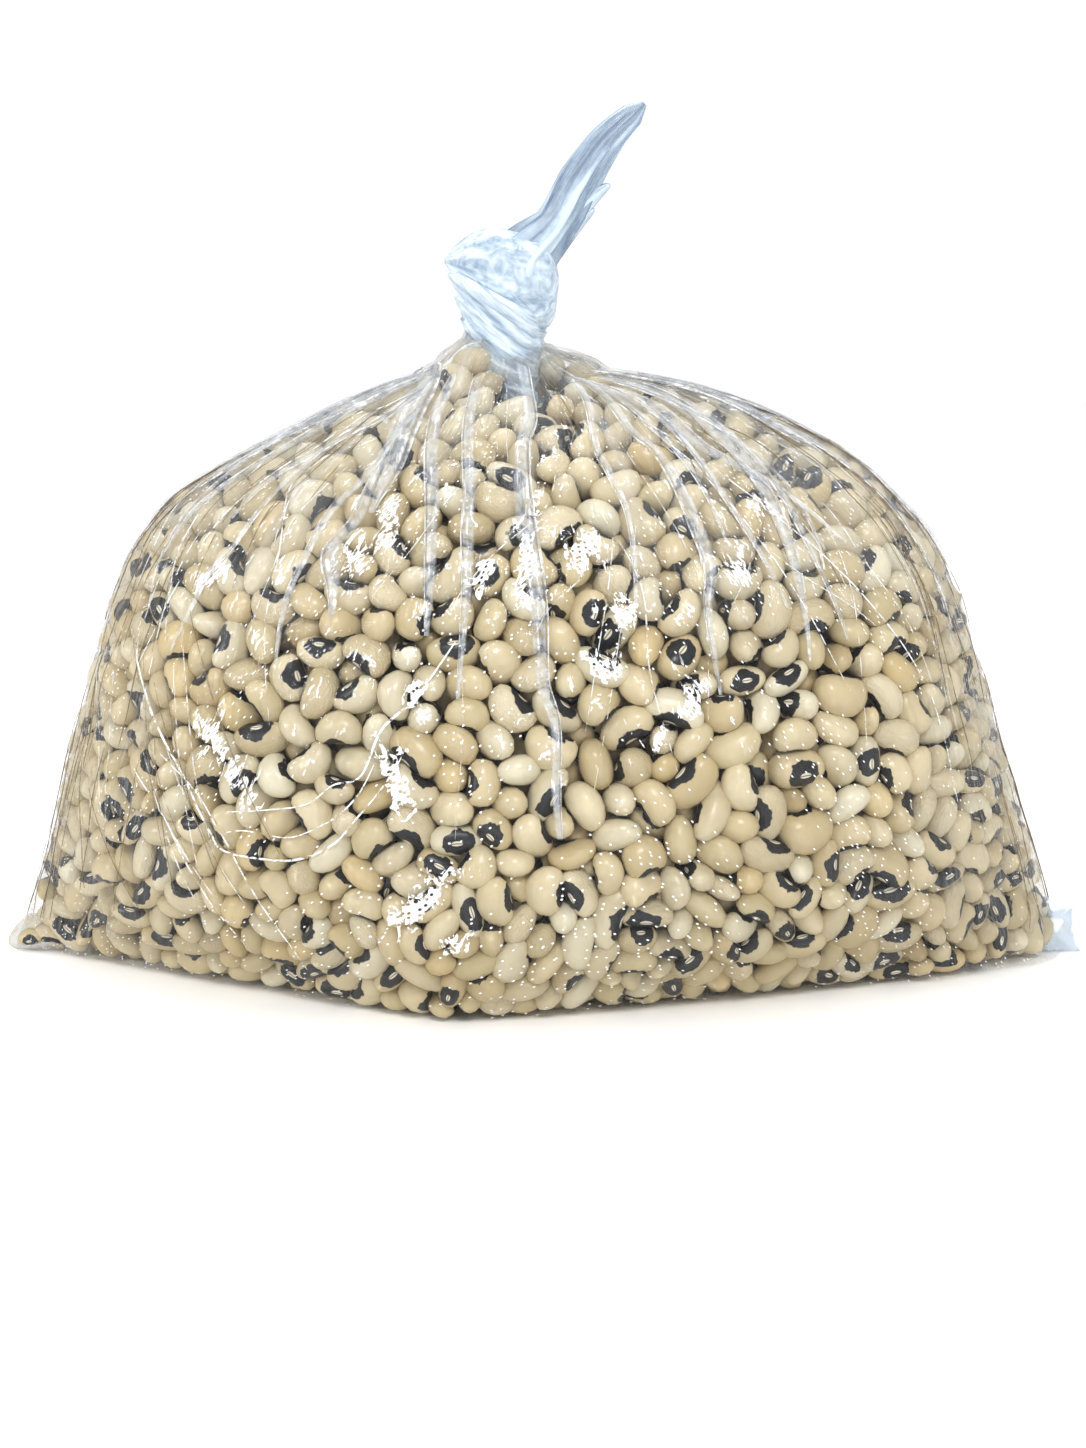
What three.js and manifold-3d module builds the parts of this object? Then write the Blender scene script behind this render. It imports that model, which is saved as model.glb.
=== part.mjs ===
// A clear plastic bag of dried black-eyed beans, knotted at the neck and sitting on its base.
// Millimetres, +Z up. The origin is on the floor, under the middle of the bag. +X runs to the
// bag's right corner and -Y to its front. The film, its knot and its beans are one closed solid:
// the film lies tight over the outer beans, so each of them shows as a bump of its own size.
import * as THREE from "three";
import { ConvexGeometry } from "three/addons/geometries/ConvexGeometry.js";
import { mergeVertices } from "three/addons/utils/BufferGeometryUtils.js";
import Module from "manifold-3d";

const wasm = await Module();
wasm.setup();

// Driving dimensions of the filled body
const HALF_WIDTH = 100; // middle to either bottom corner
const DOME_HEIGHT = 109.5; // floor to the top of the dome, where the neck starts
const SIDE_TAPER = 0.3166; // how far each side leans in for each millimetre of height
const FRONT_DEPTH = 53; // middle to the fullest part of the front
const BACK_DEPTH = 50;
const SHOULDER_HEIGHT = 60; // above this the sides round over to the neck
const SHOULDER_POWER = 2.9; // 2 is an ellipse, and more is squarer
const LEFT_FALL = 0.12; // share of the half width that the left shoulder loses near the neck
const LEFT_FALL_START = 84; // height where that begins
const LEFT_FALL_END = 102; // height where it is full
const DEPTH_POWER = 1.35; // the dome rounds over sooner from front to back than from side to side
const DEPTH_NARROWING = 0.1; // share of the depth lost from the floor to the shoulder
const UNDERCUT_HEIGHT = 22; // below this the front and back curve in under the bag
const UNDERCUT_SHARE = 0.16; // how much of the depth that takes off at the floor
const UNDERCUT_POWER = 2.2; // more keeps it nearer to the floor
const CORNER_FADE = 14; // height over which the pinched outline at the floor turns into an oval
const BODY_LEAN = 1.3; // the body leans this far to the left
const LEAN_HEIGHT = 40; // over this height
const NECK_X = -6.4; // the neck stands to the left of the middle
const BROAD_WAVE = 0.011; // three soft swells go round the bag, as a share of its size there
const SHORT_WAVE = 0.009; // and five shorter ones

// The outline on the floor: share of the half width, then share of the depth
const FRONT_OUTLINE = [
  [-1, 0], [-0.84, 0.19], [-0.62, 0.45], [-0.42, 0.71], [-0.23, 0.94], [-0.15, 1],
  [-0.06, 0.97], [0.31, 0.72], [0.74, 0.46], [0.96, 0.19], [1, 0],
];
const BACK_OUTLINE = [
  [-1, 0], [-0.94, 0.17], [-0.7, 0.46], [-0.35, 0.82], [-0.05, 1],
  [0.2, 0.95], [0.6, 0.6], [0.9, 0.22], [1, 0],
];

// Driving dimensions of the surface
const BEAN_PITCH = 8; // middle to middle of neighbouring beans
const BEAN_RIDGE = 1.7; // middle of a bean to either end of its ridge
const BEAN_BUMP = 2; // top of a bean above the hollows around it
const PLEATS = 22; // lobes between the gathers round the neck
const PLEAT_DEPTH = 3.6; // of a gather, beside the neck
const PLEAT_START = 46; // height where the gathers begin
const PLEAT_RINGS = [30, 23, 17, 12]; // distances from the neck at which the gathers are drawn
const PLEAT_SINK = 0.7; // share of that depth that lies below the smooth film
const BELOW_FLOOR = 2; // the body is modelled this far down, then cut flat at the floor

// Driving dimensions of the neck and its knot
const SKIRT_FOOT = 99;
const SKIRT_TOP = 116;
const SKIRT_RADIUS = [[0, 26], [0.33, 21.5], [0.52, 16], [0.66, 11.5], [0.78, 8.6], [0.88, 7], [1, 6.2]];
const SKIRT_DEPTH_SHARE = 0.58; // front to back against side to side, at the foot
const SKIRT_DEPTH_SHARE_TOP = 0.9;
const FLUTES = 14;
const SHEATH_FOOT = 104;
const SHEATH_TOP = 122.3;
const SHEATH_TILT = 4.3; // the edge rises this much on the left and drops as much on the right
const SHEATH_RADIUS = [[0, 5.4], [0.27, 6.1], [0.55, 7], [0.8, 8], [0.95, 9], [1, 8.4]];
const SHEATH_DEPTH_SHARE = 0.88;
const SHEATH_LEAN = 1.6; // to the left, from its foot to its top
const WINDINGS = 4;
const WINDING_DEPTH = 0.55;
const TUCK_LENGTH = 8.8; // middle to either end of the tucked loop
const TUCK_HALF_DEPTH = 6.4;
const TUCK_HALF_HEIGHT = 5.6;
const TUCK_TILT = -9; // degrees; its point on the left hangs lower
const TUCK_OFFSET = -2.6; // its middle stands to the left of the neck
const TUCK_Z = 129.4;
const TUCK_FOLDS = 5;
const TAIL_LINE = new THREE.CatmullRomCurve3([
  new THREE.Vector3(-7, 0.4, 112),
  new THREE.Vector3(-6, 0.3, 120),
  new THREE.Vector3(-3.6, 0.2, 128),
  new THREE.Vector3(2.2, -0.5, 134.6),
  new THREE.Vector3(6.3, -1.2, 142),
  new THREE.Vector3(11.4, -0.8, 149.2),
  new THREE.Vector3(18, 0.2, 155.6),
]);
const TAIL_HALF_WIDTH = [
  [0, 5], [0.17, 6.6], [0.3, 6.4], [0.38, 4.8], [0.5, 3.4], [0.67, 3.5], [0.83, 2.8], [0.95, 2], [1, 0.5],
];
const TAIL_HALF_DEPTH = [[0, 5], [0.33, 5.6], [0.5, 3.2], [0.67, 1.9], [0.83, 1.3], [1, 0.4]];
const TAIL_FOLDS = 6;

// Torn points of the mouth: the foot, the tip and half the width
const TORN_POINTS = [
  [new THREE.Vector3(5, -1.2, 135.6), new THREE.Vector3(12, -1.6, 141.6), 1.8],
  [new THREE.Vector3(2.4, -0.8, 131.6), new THREE.Vector3(9.2, -1.2, 137.4), 1.9],
];
const TORN_NARROWING = 0.6; // share of its width that a torn point has lost at its tip

// Bunches of film beside the neck: the middle and the half sizes
const BUNCHES = [
  [new THREE.Vector3(-13.2, -4.6, 106), new THREE.Vector3(6.6, 6.2, 7.5)],
  [new THREE.Vector3(3.4, 1.5, 107), new THREE.Vector3(8.4, 6, 4.9)],
];
const BUNCH_TURN = 0.25; // radians

// Outlines of the corner ears: x, then height
const RIGHT_EAR = [
  [90, -1], [102.3, -1], [102.2, 0.2], [101.2, 1.4], [100.6, 4],
  [100.2, 8.6], [99.4, 9.8], [96.5, 10], [90, 12.5],
];
const LEFT_EAR = [
  [-90, -1], [-90, 8], [-97.8, 7], [-100.2, 4.6], [-101.5, 2.6], [-101.7, 1.2], [-100, -1],
];
const RIGHT_EAR_THICKNESS = 0.9;
const LEFT_EAR_THICKNESS = 2;
const RIGHT_EAR_Y = -1;
const LEFT_EAR_Y = 0;

const clamp01 = (value) => Math.min(1, Math.max(0, value));
const smooth = (from, to, value) => {
  const part = clamp01((value - from) / (to - from));
  return part * part * (3 - 2 * part);
};

// Straight-line reading of a short list of [share, value] pairs
function reading(pairs, share) {
  const last = pairs.findIndex(([at]) => at >= share);
  if (last <= 0) return pairs[last < 0 ? pairs.length - 1 : 0][1];
  const [low, from] = pairs[last - 1];
  const [high, to] = pairs[last];
  return from + ((to - from) * (share - low)) / (high - low);
}

// 1 on the straight sides, falling to 0 at the top of the dome
function shoulder(z) {
  const part = clamp01((z - SHOULDER_HEIGHT) / (DOME_HEIGHT - SHOULDER_HEIGHT));
  return Math.sqrt(Math.max(0, 1 - part ** SHOULDER_POWER));
}

// A point of the smooth film: turn runs round the bag from the right corner, z is the height
function filmPoint(turn, z) {
  const cut = shoulder(z);
  const low = Math.max(0, z);
  const front = Math.sin(turn) < 0;
  const fall = LEFT_FALL * smooth(LEFT_FALL_START, LEFT_FALL_END, low) * Math.max(0, -Math.cos(turn));
  const halfWidth = (HALF_WIDTH - SIDE_TAPER * low) * cut * (1 - fall);
  const undercut = 1 - UNDERCUT_SHARE * Math.max(0, 1 - low / UNDERCUT_HEIGHT) ** UNDERCUT_POWER;
  const narrowing = 1 - DEPTH_NARROWING * (low / SHOULDER_HEIGHT) ** 2;
  const depth = front ? FRONT_DEPTH : BACK_DEPTH;
  const halfDepth = depth * undercut * narrowing * cut ** DEPTH_POWER;
  const fade = Math.exp(-low / CORNER_FADE);
  const oval = Math.abs(Math.sin(turn)) ** (1 + fade);
  const outline = reading(front ? FRONT_OUTLINE : BACK_OUTLINE, Math.cos(turn));
  const across = oval + (outline - oval) * fade;
  const waves = BROAD_WAVE * Math.sin(3 * turn + z / 23) + SHORT_WAVE * Math.sin(5 * turn - z / 17 + 2);
  const uneven = 1 + waves * across;
  const neckLean = (NECK_X + BODY_LEAN) * (1 - cut) ** 3;
  const lean = neckLean - BODY_LEAN * Math.min(1, low / LEAN_HEIGHT);
  return new THREE.Vector3(
    halfWidth * Math.cos(turn) * uneven + lean,
    halfDepth * (front ? -1 : 1) * across * uneven,
    z,
  );
}

// The outward direction of the smooth film
function filmNormal(turn, z) {
  const step = 0.02;
  const top = Math.min(z, DOME_HEIGHT - 0.6);
  const along = filmPoint(turn + step, top).sub(filmPoint(turn - step, top));
  const up = filmPoint(turn, top + 0.5).sub(filmPoint(turn, top - 0.5));
  const normal = along.cross(up);
  return normal.lengthSq() > 1e-9 ? normal.normalize() : new THREE.Vector3(Math.sign(Math.cos(turn)), 0, 0);
}

// The gathers: round lobes with sharp grooves between them, deeper towards the neck
function pleatHeight(turn, z) {
  const lobe = (turn / (2 * Math.PI)) * PLEATS + 0.33 * Math.sin(2 * turn) + 0.2 * Math.sin(7 * turn);
  const part = lobe - Math.floor(lobe);
  const share = 0.75 + 0.25 * Math.sin(9 * turn);
  const depth = PLEAT_DEPTH * share * smooth(PLEAT_START, DOME_HEIGHT, z);
  return depth * (Math.sin(Math.PI * part) ** 0.6 - PLEAT_SINK);
}

// The height at which a given share of the film's area, counted from the base, has been passed.
// It lets points that are even on a sphere fall evenly on the bag.
const BANDS = 240;
const BASE_FULLNESS = 0.6; // the base's area as a share of the rectangle round it
const TURN_EASE = 0.125; // draws points away from the pinched corners
const bandHeight = (band) => DOME_HEIGHT * (1 - (1 - band / BANDS) ** 2);
function girth(z) {
  const wide = filmPoint(0, z).x - filmPoint(Math.PI, z).x;
  const deep = filmPoint(Math.PI / 2, z).y - filmPoint(-Math.PI / 2, z).y;
  return (Math.PI * (wide + deep)) / 2;
}
const baseArea = HALF_WIDTH * 2 * (FRONT_DEPTH + BACK_DEPTH) * (1 - UNDERCUT_SHARE) * BASE_FULLNESS;
const areaBelow = [baseArea];
for (let band = 1; band <= BANDS; band += 1) {
  const low = bandHeight(band - 1);
  const high = bandHeight(band);
  const sideStep = Math.hypot(filmPoint(0, high).x - filmPoint(0, low).x, high - low);
  const frontStep = Math.hypot(filmPoint(Math.PI / 2, high).y - filmPoint(Math.PI / 2, low).y, high - low);
  areaBelow.push(areaBelow[band - 1] + ((girth(low) + girth(high)) / 2) * ((sideStep + frontStep) / 2));
}
const filmArea = areaBelow[BANDS];

// Sphere direction to the place on the bag: the turn, the height, and how far in a base point lies
function placeOf(direction) {
  const round = Math.atan2(direction.y, direction.x);
  const turn = round + TURN_EASE * Math.sin(2 * round);
  const area = ((direction.z + 1) / 2) * filmArea;
  if (area < baseArea) return { turn, z: -BELOW_FLOOR, inset: Math.sqrt(area / baseArea) };
  let band = 1;
  while (band < BANDS && areaBelow[band] < area) band += 1;
  const part = clamp01((area - areaBelow[band - 1]) / (areaBelow[band] - areaBelow[band - 1]));
  return { turn, z: bandHeight(band - 1) * (1 - part) + bandHeight(band) * part, inset: 1 };
}

// The inverse of placeOf for a point on the side, used for the gathers' own points
function directionOf(turn, z) {
  let round = turn;
  for (let pass = 0; pass < 6; pass += 1) round = turn - TURN_EASE * Math.sin(2 * round);
  const band = BANDS * (1 - Math.sqrt(1 - clamp01(z / DOME_HEIGHT)));
  const low = Math.min(BANDS - 1, Math.floor(band));
  const area = areaBelow[low] + (areaBelow[low + 1] - areaBelow[low]) * (band - low);
  const up = (2 * area) / filmArea - 1;
  const out = Math.sqrt(Math.max(0, 1 - up * up));
  return new THREE.Vector3(out * Math.cos(round), out * Math.sin(round), up);
}

function bagPoint(direction, relief) {
  const { turn, z, inset } = placeOf(direction);
  const point = filmPoint(turn, z);
  if (inset < 1) return point.multiply(new THREE.Vector3(inset, inset, 1));
  return point.addScaledVector(filmNormal(turn, z), relief + pleatHeight(turn, z));
}

// One site for each outer bean, spread evenly and then shaken a little by a fixed rule
function beanSites() {
  const count = Math.round(filmArea / (BEAN_PITCH * BEAN_PITCH * Math.sin(Math.PI / 3)));
  const golden = Math.PI * (3 - Math.sqrt(5));
  const neckLimit = directionOf(0, heightAtReach(PLEAT_RINGS[0] + 3)).z;
  const baseLimit = (2 * baseArea) / filmArea - 1;
  const sites = [];
  for (let bean = 0; bean < count; bean += 1) {
    const up = (2 * (bean + 0.5)) / count - 1 + (0.9 * Math.sin(bean * 12.9898)) / count;
    const round = bean * golden + (0.9 * Math.sin(bean * 78.233)) / Math.sqrt(count);
    if (up < baseLimit + 0.01 || up > neckLimit) continue;
    const out = Math.sqrt(1 - up * up);
    sites.push(new THREE.Vector3(out * Math.cos(round), out * Math.sin(round), up));
  }
  return sites;
}

// The height at which the side of the dome is a given distance from the neck
function heightAtReach(reach) {
  let z = DOME_HEIGHT;
  while (z > SHOULDER_HEIGHT && filmPoint(0, z).x - NECK_X < reach) z -= 0.05;
  return z;
}

// The hollows between beans: the middle of every three neighbouring sites
const LONGEST_STEP = 0.35; // sites further apart than this, on a sphere of radius 1, aren't neighbours
function hollowsBetween(sites) {
  const net = new ConvexGeometry(sites).getAttribute("position");
  const hollows = [];
  for (let corner = 0; corner < net.count; corner += 3) {
    const middle = new THREE.Vector3();
    const edges = [];
    for (let k = 0; k < 3; k += 1) {
      const here = new THREE.Vector3().fromBufferAttribute(net, corner + k);
      const next = new THREE.Vector3().fromBufferAttribute(net, corner + ((k + 1) % 3));
      middle.add(here);
      edges.push(here.distanceTo(next));
    }
    if (Math.max(...edges) < LONGEST_STEP) hollows.push(middle.normalize());
  }
  return hollows;
}

// A direction written out, so that its relief can be looked up again
const keyOf = (v) => [v.x, v.y, v.z].map((part) => Math.fround(part).toFixed(5)).join(" ");

// The body: bean ridges, hollows and gathers joined into one skin
function bodyGeometry() {
  const relief = new Map();
  const points = [];
  const add = (direction, height) => {
    points.push(direction);
    relief.set(keyOf(direction), height);
  };
  const sites = beanSites();
  const ridge = BEAN_RIDGE / Math.sqrt(filmArea / (4 * Math.PI));
  sites.forEach((site, bean) => {
    const east = new THREE.Vector3(-site.y, site.x, 0).normalize();
    const north = site.clone().cross(east);
    const way = 2.4 * bean + 0.9 * Math.sin(1.7 * bean);
    const tilt = 0.3 * Math.sin(5.1 * bean);
    for (const end of [-1, 1]) {
      const peak = site
        .clone()
        .addScaledVector(east, end * ridge * Math.cos(way))
        .addScaledVector(north, end * ridge * Math.sin(way));
      add(peak.normalize(), BEAN_BUMP * (0.5 + end * tilt * 0.5));
    }
  });
  hollowsBetween(sites).forEach((hollow) => add(hollow, -BEAN_BUMP * 0.5));
  for (const reach of PLEAT_RINGS) {
    const z = heightAtReach(reach);
    const steps = PLEATS * 3;
    for (let step = 0; step < steps; step += 1) {
      add(directionOf((2 * Math.PI * (step + 0.5)) / steps, z), 0);
    }
  }
  add(new THREE.Vector3(0, 0, 1), 0);
  const skin = new ConvexGeometry(points);
  const position = skin.getAttribute("position");
  for (let corner = 0; corner < position.count; corner += 1) {
    const direction = new THREE.Vector3().fromBufferAttribute(position, corner);
    const point = bagPoint(direction, relief.get(keyOf(direction)) ?? 0);
    position.setXYZ(corner, point.x, point.y, point.z);
  }
  return skin;
}

// A closed cylinder with every point put where place(angle, height share, radius share) says
function shapedCylinder(sides, rows, place) {
  const geometry = new THREE.CylinderGeometry(1, 1, 1, sides, rows);
  const position = geometry.getAttribute("position");
  for (let corner = 0; corner < position.count; corner += 1) {
    const angle = Math.atan2(-position.getZ(corner), position.getX(corner));
    const reach = Math.hypot(position.getX(corner), position.getZ(corner));
    const point = place(angle, position.getY(corner) + 0.5, reach);
    position.setXYZ(corner, point.x, point.y, point.z);
  }
  return geometry;
}

// The film gathered in to the neck: a flaring skirt with a flute for each gather
function neckSkirt() {
  return shapedCylinder(42, 9, (angle, share, reach) => {
    const flute = 1 + 0.07 * Math.sin(FLUTES * angle + 1.5 * share) + 0.04 * Math.sin(3 * angle + 1);
    const radius = reading(SKIRT_RADIUS, share) * flute * reach;
    const depthShare = SKIRT_DEPTH_SHARE + (SKIRT_DEPTH_SHARE_TOP - SKIRT_DEPTH_SHARE) * share;
    return new THREE.Vector3(
      NECK_X + radius * Math.cos(angle),
      depthShare * radius * Math.sin(angle),
      SKIRT_FOOT + (SKIRT_TOP - SKIRT_FOOT) * share,
    );
  });
}

// The sheath of film wound round the neck: it widens upwards, and its top edge is high on the left
function knotSheath() {
  return shapedCylinder(28, 16, (angle, share, reach) => {
    const wound = share * WINDINGS - angle / (2 * Math.PI);
    const step = wound - Math.floor(wound);
    const radius = (reading(SHEATH_RADIUS, share) + WINDING_DEPTH * (step - 0.5)) * reach;
    return new THREE.Vector3(
      NECK_X - SHEATH_LEAN * share + radius * Math.cos(angle),
      SHEATH_DEPTH_SHARE * radius * Math.sin(angle),
      SHEATH_FOOT + (SHEATH_TOP - SHEATH_FOOT) * share - SHEATH_TILT * Math.cos(angle) * share * reach,
    );
  });
}

// The end tucked over the sheath at the top left: a flattened loop with a blunt point
function knotTuck() {
  const tuck = new THREE.SphereGeometry(1, 18, 10);
  const position = tuck.getAttribute("position");
  for (let corner = 0; corner < position.count; corner += 1) {
    const x = position.getX(corner);
    const crease = 1 - 0.22 * Math.abs(Math.sin(TUCK_FOLDS * Math.atan2(position.getZ(corner), x)));
    position.setXYZ(
      corner,
      TUCK_LENGTH * x,
      TUCK_HALF_DEPTH * position.getY(corner) * (0.72 + 0.28 * x) * crease,
      TUCK_HALF_HEIGHT * position.getZ(corner) * (0.78 + 0.22 * x),
    );
  }
  tuck.rotateY(THREE.MathUtils.degToRad(TUCK_TILT));
  tuck.translate(NECK_X + TUCK_OFFSET, 0, TUCK_Z);
  return tuck;
}

// The tail: the gathered mouth of the bag fans up out of the sheath, then leans right as a flat ribbon
function knotTail() {
  return shapedCylinder(30, 20, (angle, share, reach) => {
    const middle = TAIL_LINE.getPoint(share);
    const along = TAIL_LINE.getTangent(share);
    const across = new THREE.Vector3(along.z, 0, -along.x).normalize();
    const fold = 1 + 0.13 * Math.cos(TAIL_FOLDS * angle + 3 * share);
    const halfWidth = reading(TAIL_HALF_WIDTH, share) * fold * reach;
    const halfDepth = reading(TAIL_HALF_DEPTH, share) * fold * reach;
    return middle
      .addScaledVector(across, halfWidth * Math.cos(angle))
      .add(new THREE.Vector3(0, halfDepth * Math.sin(angle), 0));
  });
}

// A torn point of the mouth that stands off the tail's lower edge
function tornPoint(base, tip, halfWidth) {
  const along = tip.clone().sub(base);
  const across = new THREE.Vector3(along.z, 0, -along.x).normalize();
  return shapedCylinder(8, 4, (angle, share, reach) => {
    const half = halfWidth * (1 - TORN_NARROWING * share) * reach;
    return base
      .clone()
      .addScaledVector(along, share)
      .addScaledVector(across, half * Math.cos(angle))
      .add(new THREE.Vector3(0, 0.5 * half * Math.sin(angle), 0));
  });
}

// A small bunch of film that stands up beside the neck with a bean caught in it
function bunch(middle, radii) {
  const lobe = new THREE.SphereGeometry(1, 12, 9);
  lobe.scale(radii.x, radii.y, radii.z);
  lobe.rotateY(BUNCH_TURN);
  lobe.translate(middle.x, middle.y, middle.z);
  return lobe;
}

// The flat ends of the bottom seal that stick out past the beans at the two corners
function cornerEar(outline, thickness, y) {
  const shape = new THREE.Shape(outline.map(([x, z]) => new THREE.Vector2(x, z)));
  const ear = new THREE.ExtrudeGeometry(shape, { depth: thickness, bevelEnabled: false });
  ear.rotateX(Math.PI / 2);
  ear.translate(0, y + thickness / 2, 0);
  return ear;
}

// Joins by manifold
function solidOf(geometry) {
  const plain = geometry.clone();
  plain.deleteAttribute("normal");
  plain.deleteAttribute("uv");
  const merged = mergeVertices(plain, 1e-4);
  return new wasm.Manifold(
    new wasm.Mesh({
      numProp: 3,
      vertProperties: merged.getAttribute("position").array,
      triVerts: new Uint32Array(merged.index.array),
    }),
  );
}

function geometryOf(solid) {
  const mesh = solid.getMesh();
  const geometry = new THREE.BufferGeometry();
  geometry.setAttribute("position", new THREE.BufferAttribute(mesh.vertProperties, 3));
  geometry.setIndex(new THREE.BufferAttribute(mesh.triVerts, 1));
  geometry.computeVertexNormals();
  return geometry;
}

// Everything below the floor is cut off with one block, so that the bag stands flat
const CUT_WIDTH = 400;
const CUT_HEIGHT = 40;
const belowFloor = new THREE.BoxGeometry(CUT_WIDTH, CUT_WIDTH, CUT_HEIGHT).translate(0, 0, -CUT_HEIGHT / 2);
const additions = [
  neckSkirt(),
  knotSheath(),
  knotTuck(),
  knotTail(),
  ...TORN_POINTS.map(([base, tip, halfWidth]) => tornPoint(base, tip, halfWidth)),
  ...BUNCHES.map(([middle, radii]) => bunch(middle, radii)),
  cornerEar(RIGHT_EAR, RIGHT_EAR_THICKNESS, RIGHT_EAR_Y),
  cornerEar(LEFT_EAR, LEFT_EAR_THICKNESS, LEFT_EAR_Y),
];
let joined = solidOf(bodyGeometry());
for (const addition of additions) joined = joined.add(solidOf(addition));
joined = joined.subtract(solidOf(belowFloor));

const filledBag = new THREE.Mesh(
  geometryOf(joined),
  new THREE.MeshStandardMaterial({ color: 0xdccba3, roughness: 0.35, metalness: 0 }),
);
filledBag.name = "filled_bag";

const part = new THREE.Group();
part.add(filledBag);

export default part;
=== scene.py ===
import math
from functools import partial

import bpy
import numpy as np
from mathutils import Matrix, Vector
from mathutils.bvhtree import BVHTree
from mathutils.kdtree import KDTree


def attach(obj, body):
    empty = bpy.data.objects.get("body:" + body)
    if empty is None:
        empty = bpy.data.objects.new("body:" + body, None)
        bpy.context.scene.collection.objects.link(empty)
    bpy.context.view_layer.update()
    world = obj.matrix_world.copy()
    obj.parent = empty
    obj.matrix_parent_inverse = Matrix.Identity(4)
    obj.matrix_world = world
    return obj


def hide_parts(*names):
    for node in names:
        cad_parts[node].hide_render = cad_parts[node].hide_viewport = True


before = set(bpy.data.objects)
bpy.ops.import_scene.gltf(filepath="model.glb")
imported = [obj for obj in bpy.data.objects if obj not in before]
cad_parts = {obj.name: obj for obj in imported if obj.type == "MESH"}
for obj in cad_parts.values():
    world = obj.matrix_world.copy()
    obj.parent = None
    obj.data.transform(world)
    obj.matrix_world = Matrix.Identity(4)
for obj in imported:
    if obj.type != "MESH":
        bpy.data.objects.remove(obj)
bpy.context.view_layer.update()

# The bag's form
# A plain bag of blown polyethylene film, filled tight and gathered at the top. This section holds
# the smooth surface that the film takes over its contents, with the same named sizes as the solid.
# All working sizes are millimetres, and meshes are turned to metres as they are made.
MM = 0.001
HALF_WIDTH = 100
DOME_HEIGHT = 109.5
SIDE_TAPER = 0.3166
FRONT_DEPTH = 53
BACK_DEPTH = 50
SHOULDER_HEIGHT = 60
SHOULDER_POWER = 2.9
LEFT_FALL = 0.12
DEPTH_POWER = 1.35
DEPTH_NARROWING = 0.1
UNDERCUT_HEIGHT = 22
UNDERCUT_SHARE = 0.16
CORNER_FADE = 14
NECK_X = -6.4
MIDDLE_LEAN = -1.3
FRONT_OUTLINE = (
    [-1, -0.84, -0.62, -0.42, -0.23, -0.15, -0.06, 0.31, 0.74, 0.96, 1],
    [0, 0.19, 0.45, 0.71, 0.94, 1, 0.97, 0.72, 0.46, 0.19, 0],
)
BACK_OUTLINE = (
    [-1, -0.94, -0.7, -0.35, -0.05, 0.2, 0.6, 0.9, 1],
    [0, 0.17, 0.46, 0.82, 1, 0.95, 0.6, 0.22, 0],
)
SKIRT_REACH = [6.2, 7, 8.6, 11.5, 16, 21.5, 26]  # distance from the neck's axis
SKIRT_RISE = [116, 114, 112.3, 110.2, 107.8, 104.6, 99]  # height of the gathered film there
SKIRT_DEPTH_SHARE = 0.72
BUNCHES = [((-13.2, -4.6, 106), (6.6, 6.2, 7.5)), ((3.4, 1.5, 107), (8.4, 6, 4.9))]
ROWS_END = 0.965  # the rows stop just short of the dome's middle, which is under the neck
ROW_CROWDING = 1.7  # and lie closer together towards it


def smooth(low, high, value):
    part = np.clip((value - low) / (high - low), 0, 1)
    return part * part * (3 - 2 * part)


def film_point(turn, z):
    """The smooth film at a turn round the bag, counted from its right corner, and a height"""
    part = np.clip((z - SHOULDER_HEIGHT) / (DOME_HEIGHT - SHOULDER_HEIGHT), 0, 1)
    cut = np.sqrt(np.maximum(0, 1 - part**SHOULDER_POWER))
    front = np.sin(turn) < 0
    side = np.cos(turn)
    fall = LEFT_FALL * smooth(84, 102, z) * np.maximum(0, -side)
    half_width = (HALF_WIDTH - SIDE_TAPER * z) * cut * (1 - fall)
    undercut = 1 - UNDERCUT_SHARE * np.maximum(0, 1 - z / UNDERCUT_HEIGHT) ** 2.2
    narrowing = 1 - DEPTH_NARROWING * (z / SHOULDER_HEIGHT) ** 2
    half_depth = np.where(front, FRONT_DEPTH, BACK_DEPTH) * undercut * narrowing * cut**DEPTH_POWER
    fade = np.exp(-z / CORNER_FADE)
    oval = np.abs(np.sin(turn)) ** (1 + fade)
    outline = np.where(front, np.interp(side, *FRONT_OUTLINE), np.interp(side, *BACK_OUTLINE))
    across = oval + (outline - oval) * fade
    waves = 0.011 * np.sin(3 * turn + z / 23) + 0.009 * np.sin(5 * turn - z / 17 + 2)
    uneven = 1 + waves * across
    lean = MIDDLE_LEAN * np.minimum(1, z / 40) + (NECK_X - MIDDLE_LEAN) * (1 - cut) ** 3
    x = half_width * side * uneven + lean
    y = half_depth * np.where(front, -1, 1) * across * uneven
    return np.stack([x, y, z + 0 * turn], -1)


def gathered(point):
    """Lifts the top of the dome into the skirt of the neck and the two bunches beside it"""
    x, y, z = np.moveaxis(point, -1, 0)
    reach = np.hypot(x - NECK_X, y / SKIRT_DEPTH_SHARE)
    top = np.where(reach < SKIRT_REACH[-1], np.interp(reach, SKIRT_REACH, SKIRT_RISE), 0)
    for middle, radii in BUNCHES:
        inside = 1 - ((x - middle[0]) / radii[0]) ** 2 - ((y - middle[1]) / radii[1]) ** 2
        lobe = middle[2] + radii[2] * np.sqrt(np.maximum(inside, 0))
        top = np.maximum(top, np.where(inside > 0, lobe, 0))
    return np.stack([x, y, np.where(z > 90, np.maximum(z, top), z)], -1)


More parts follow.
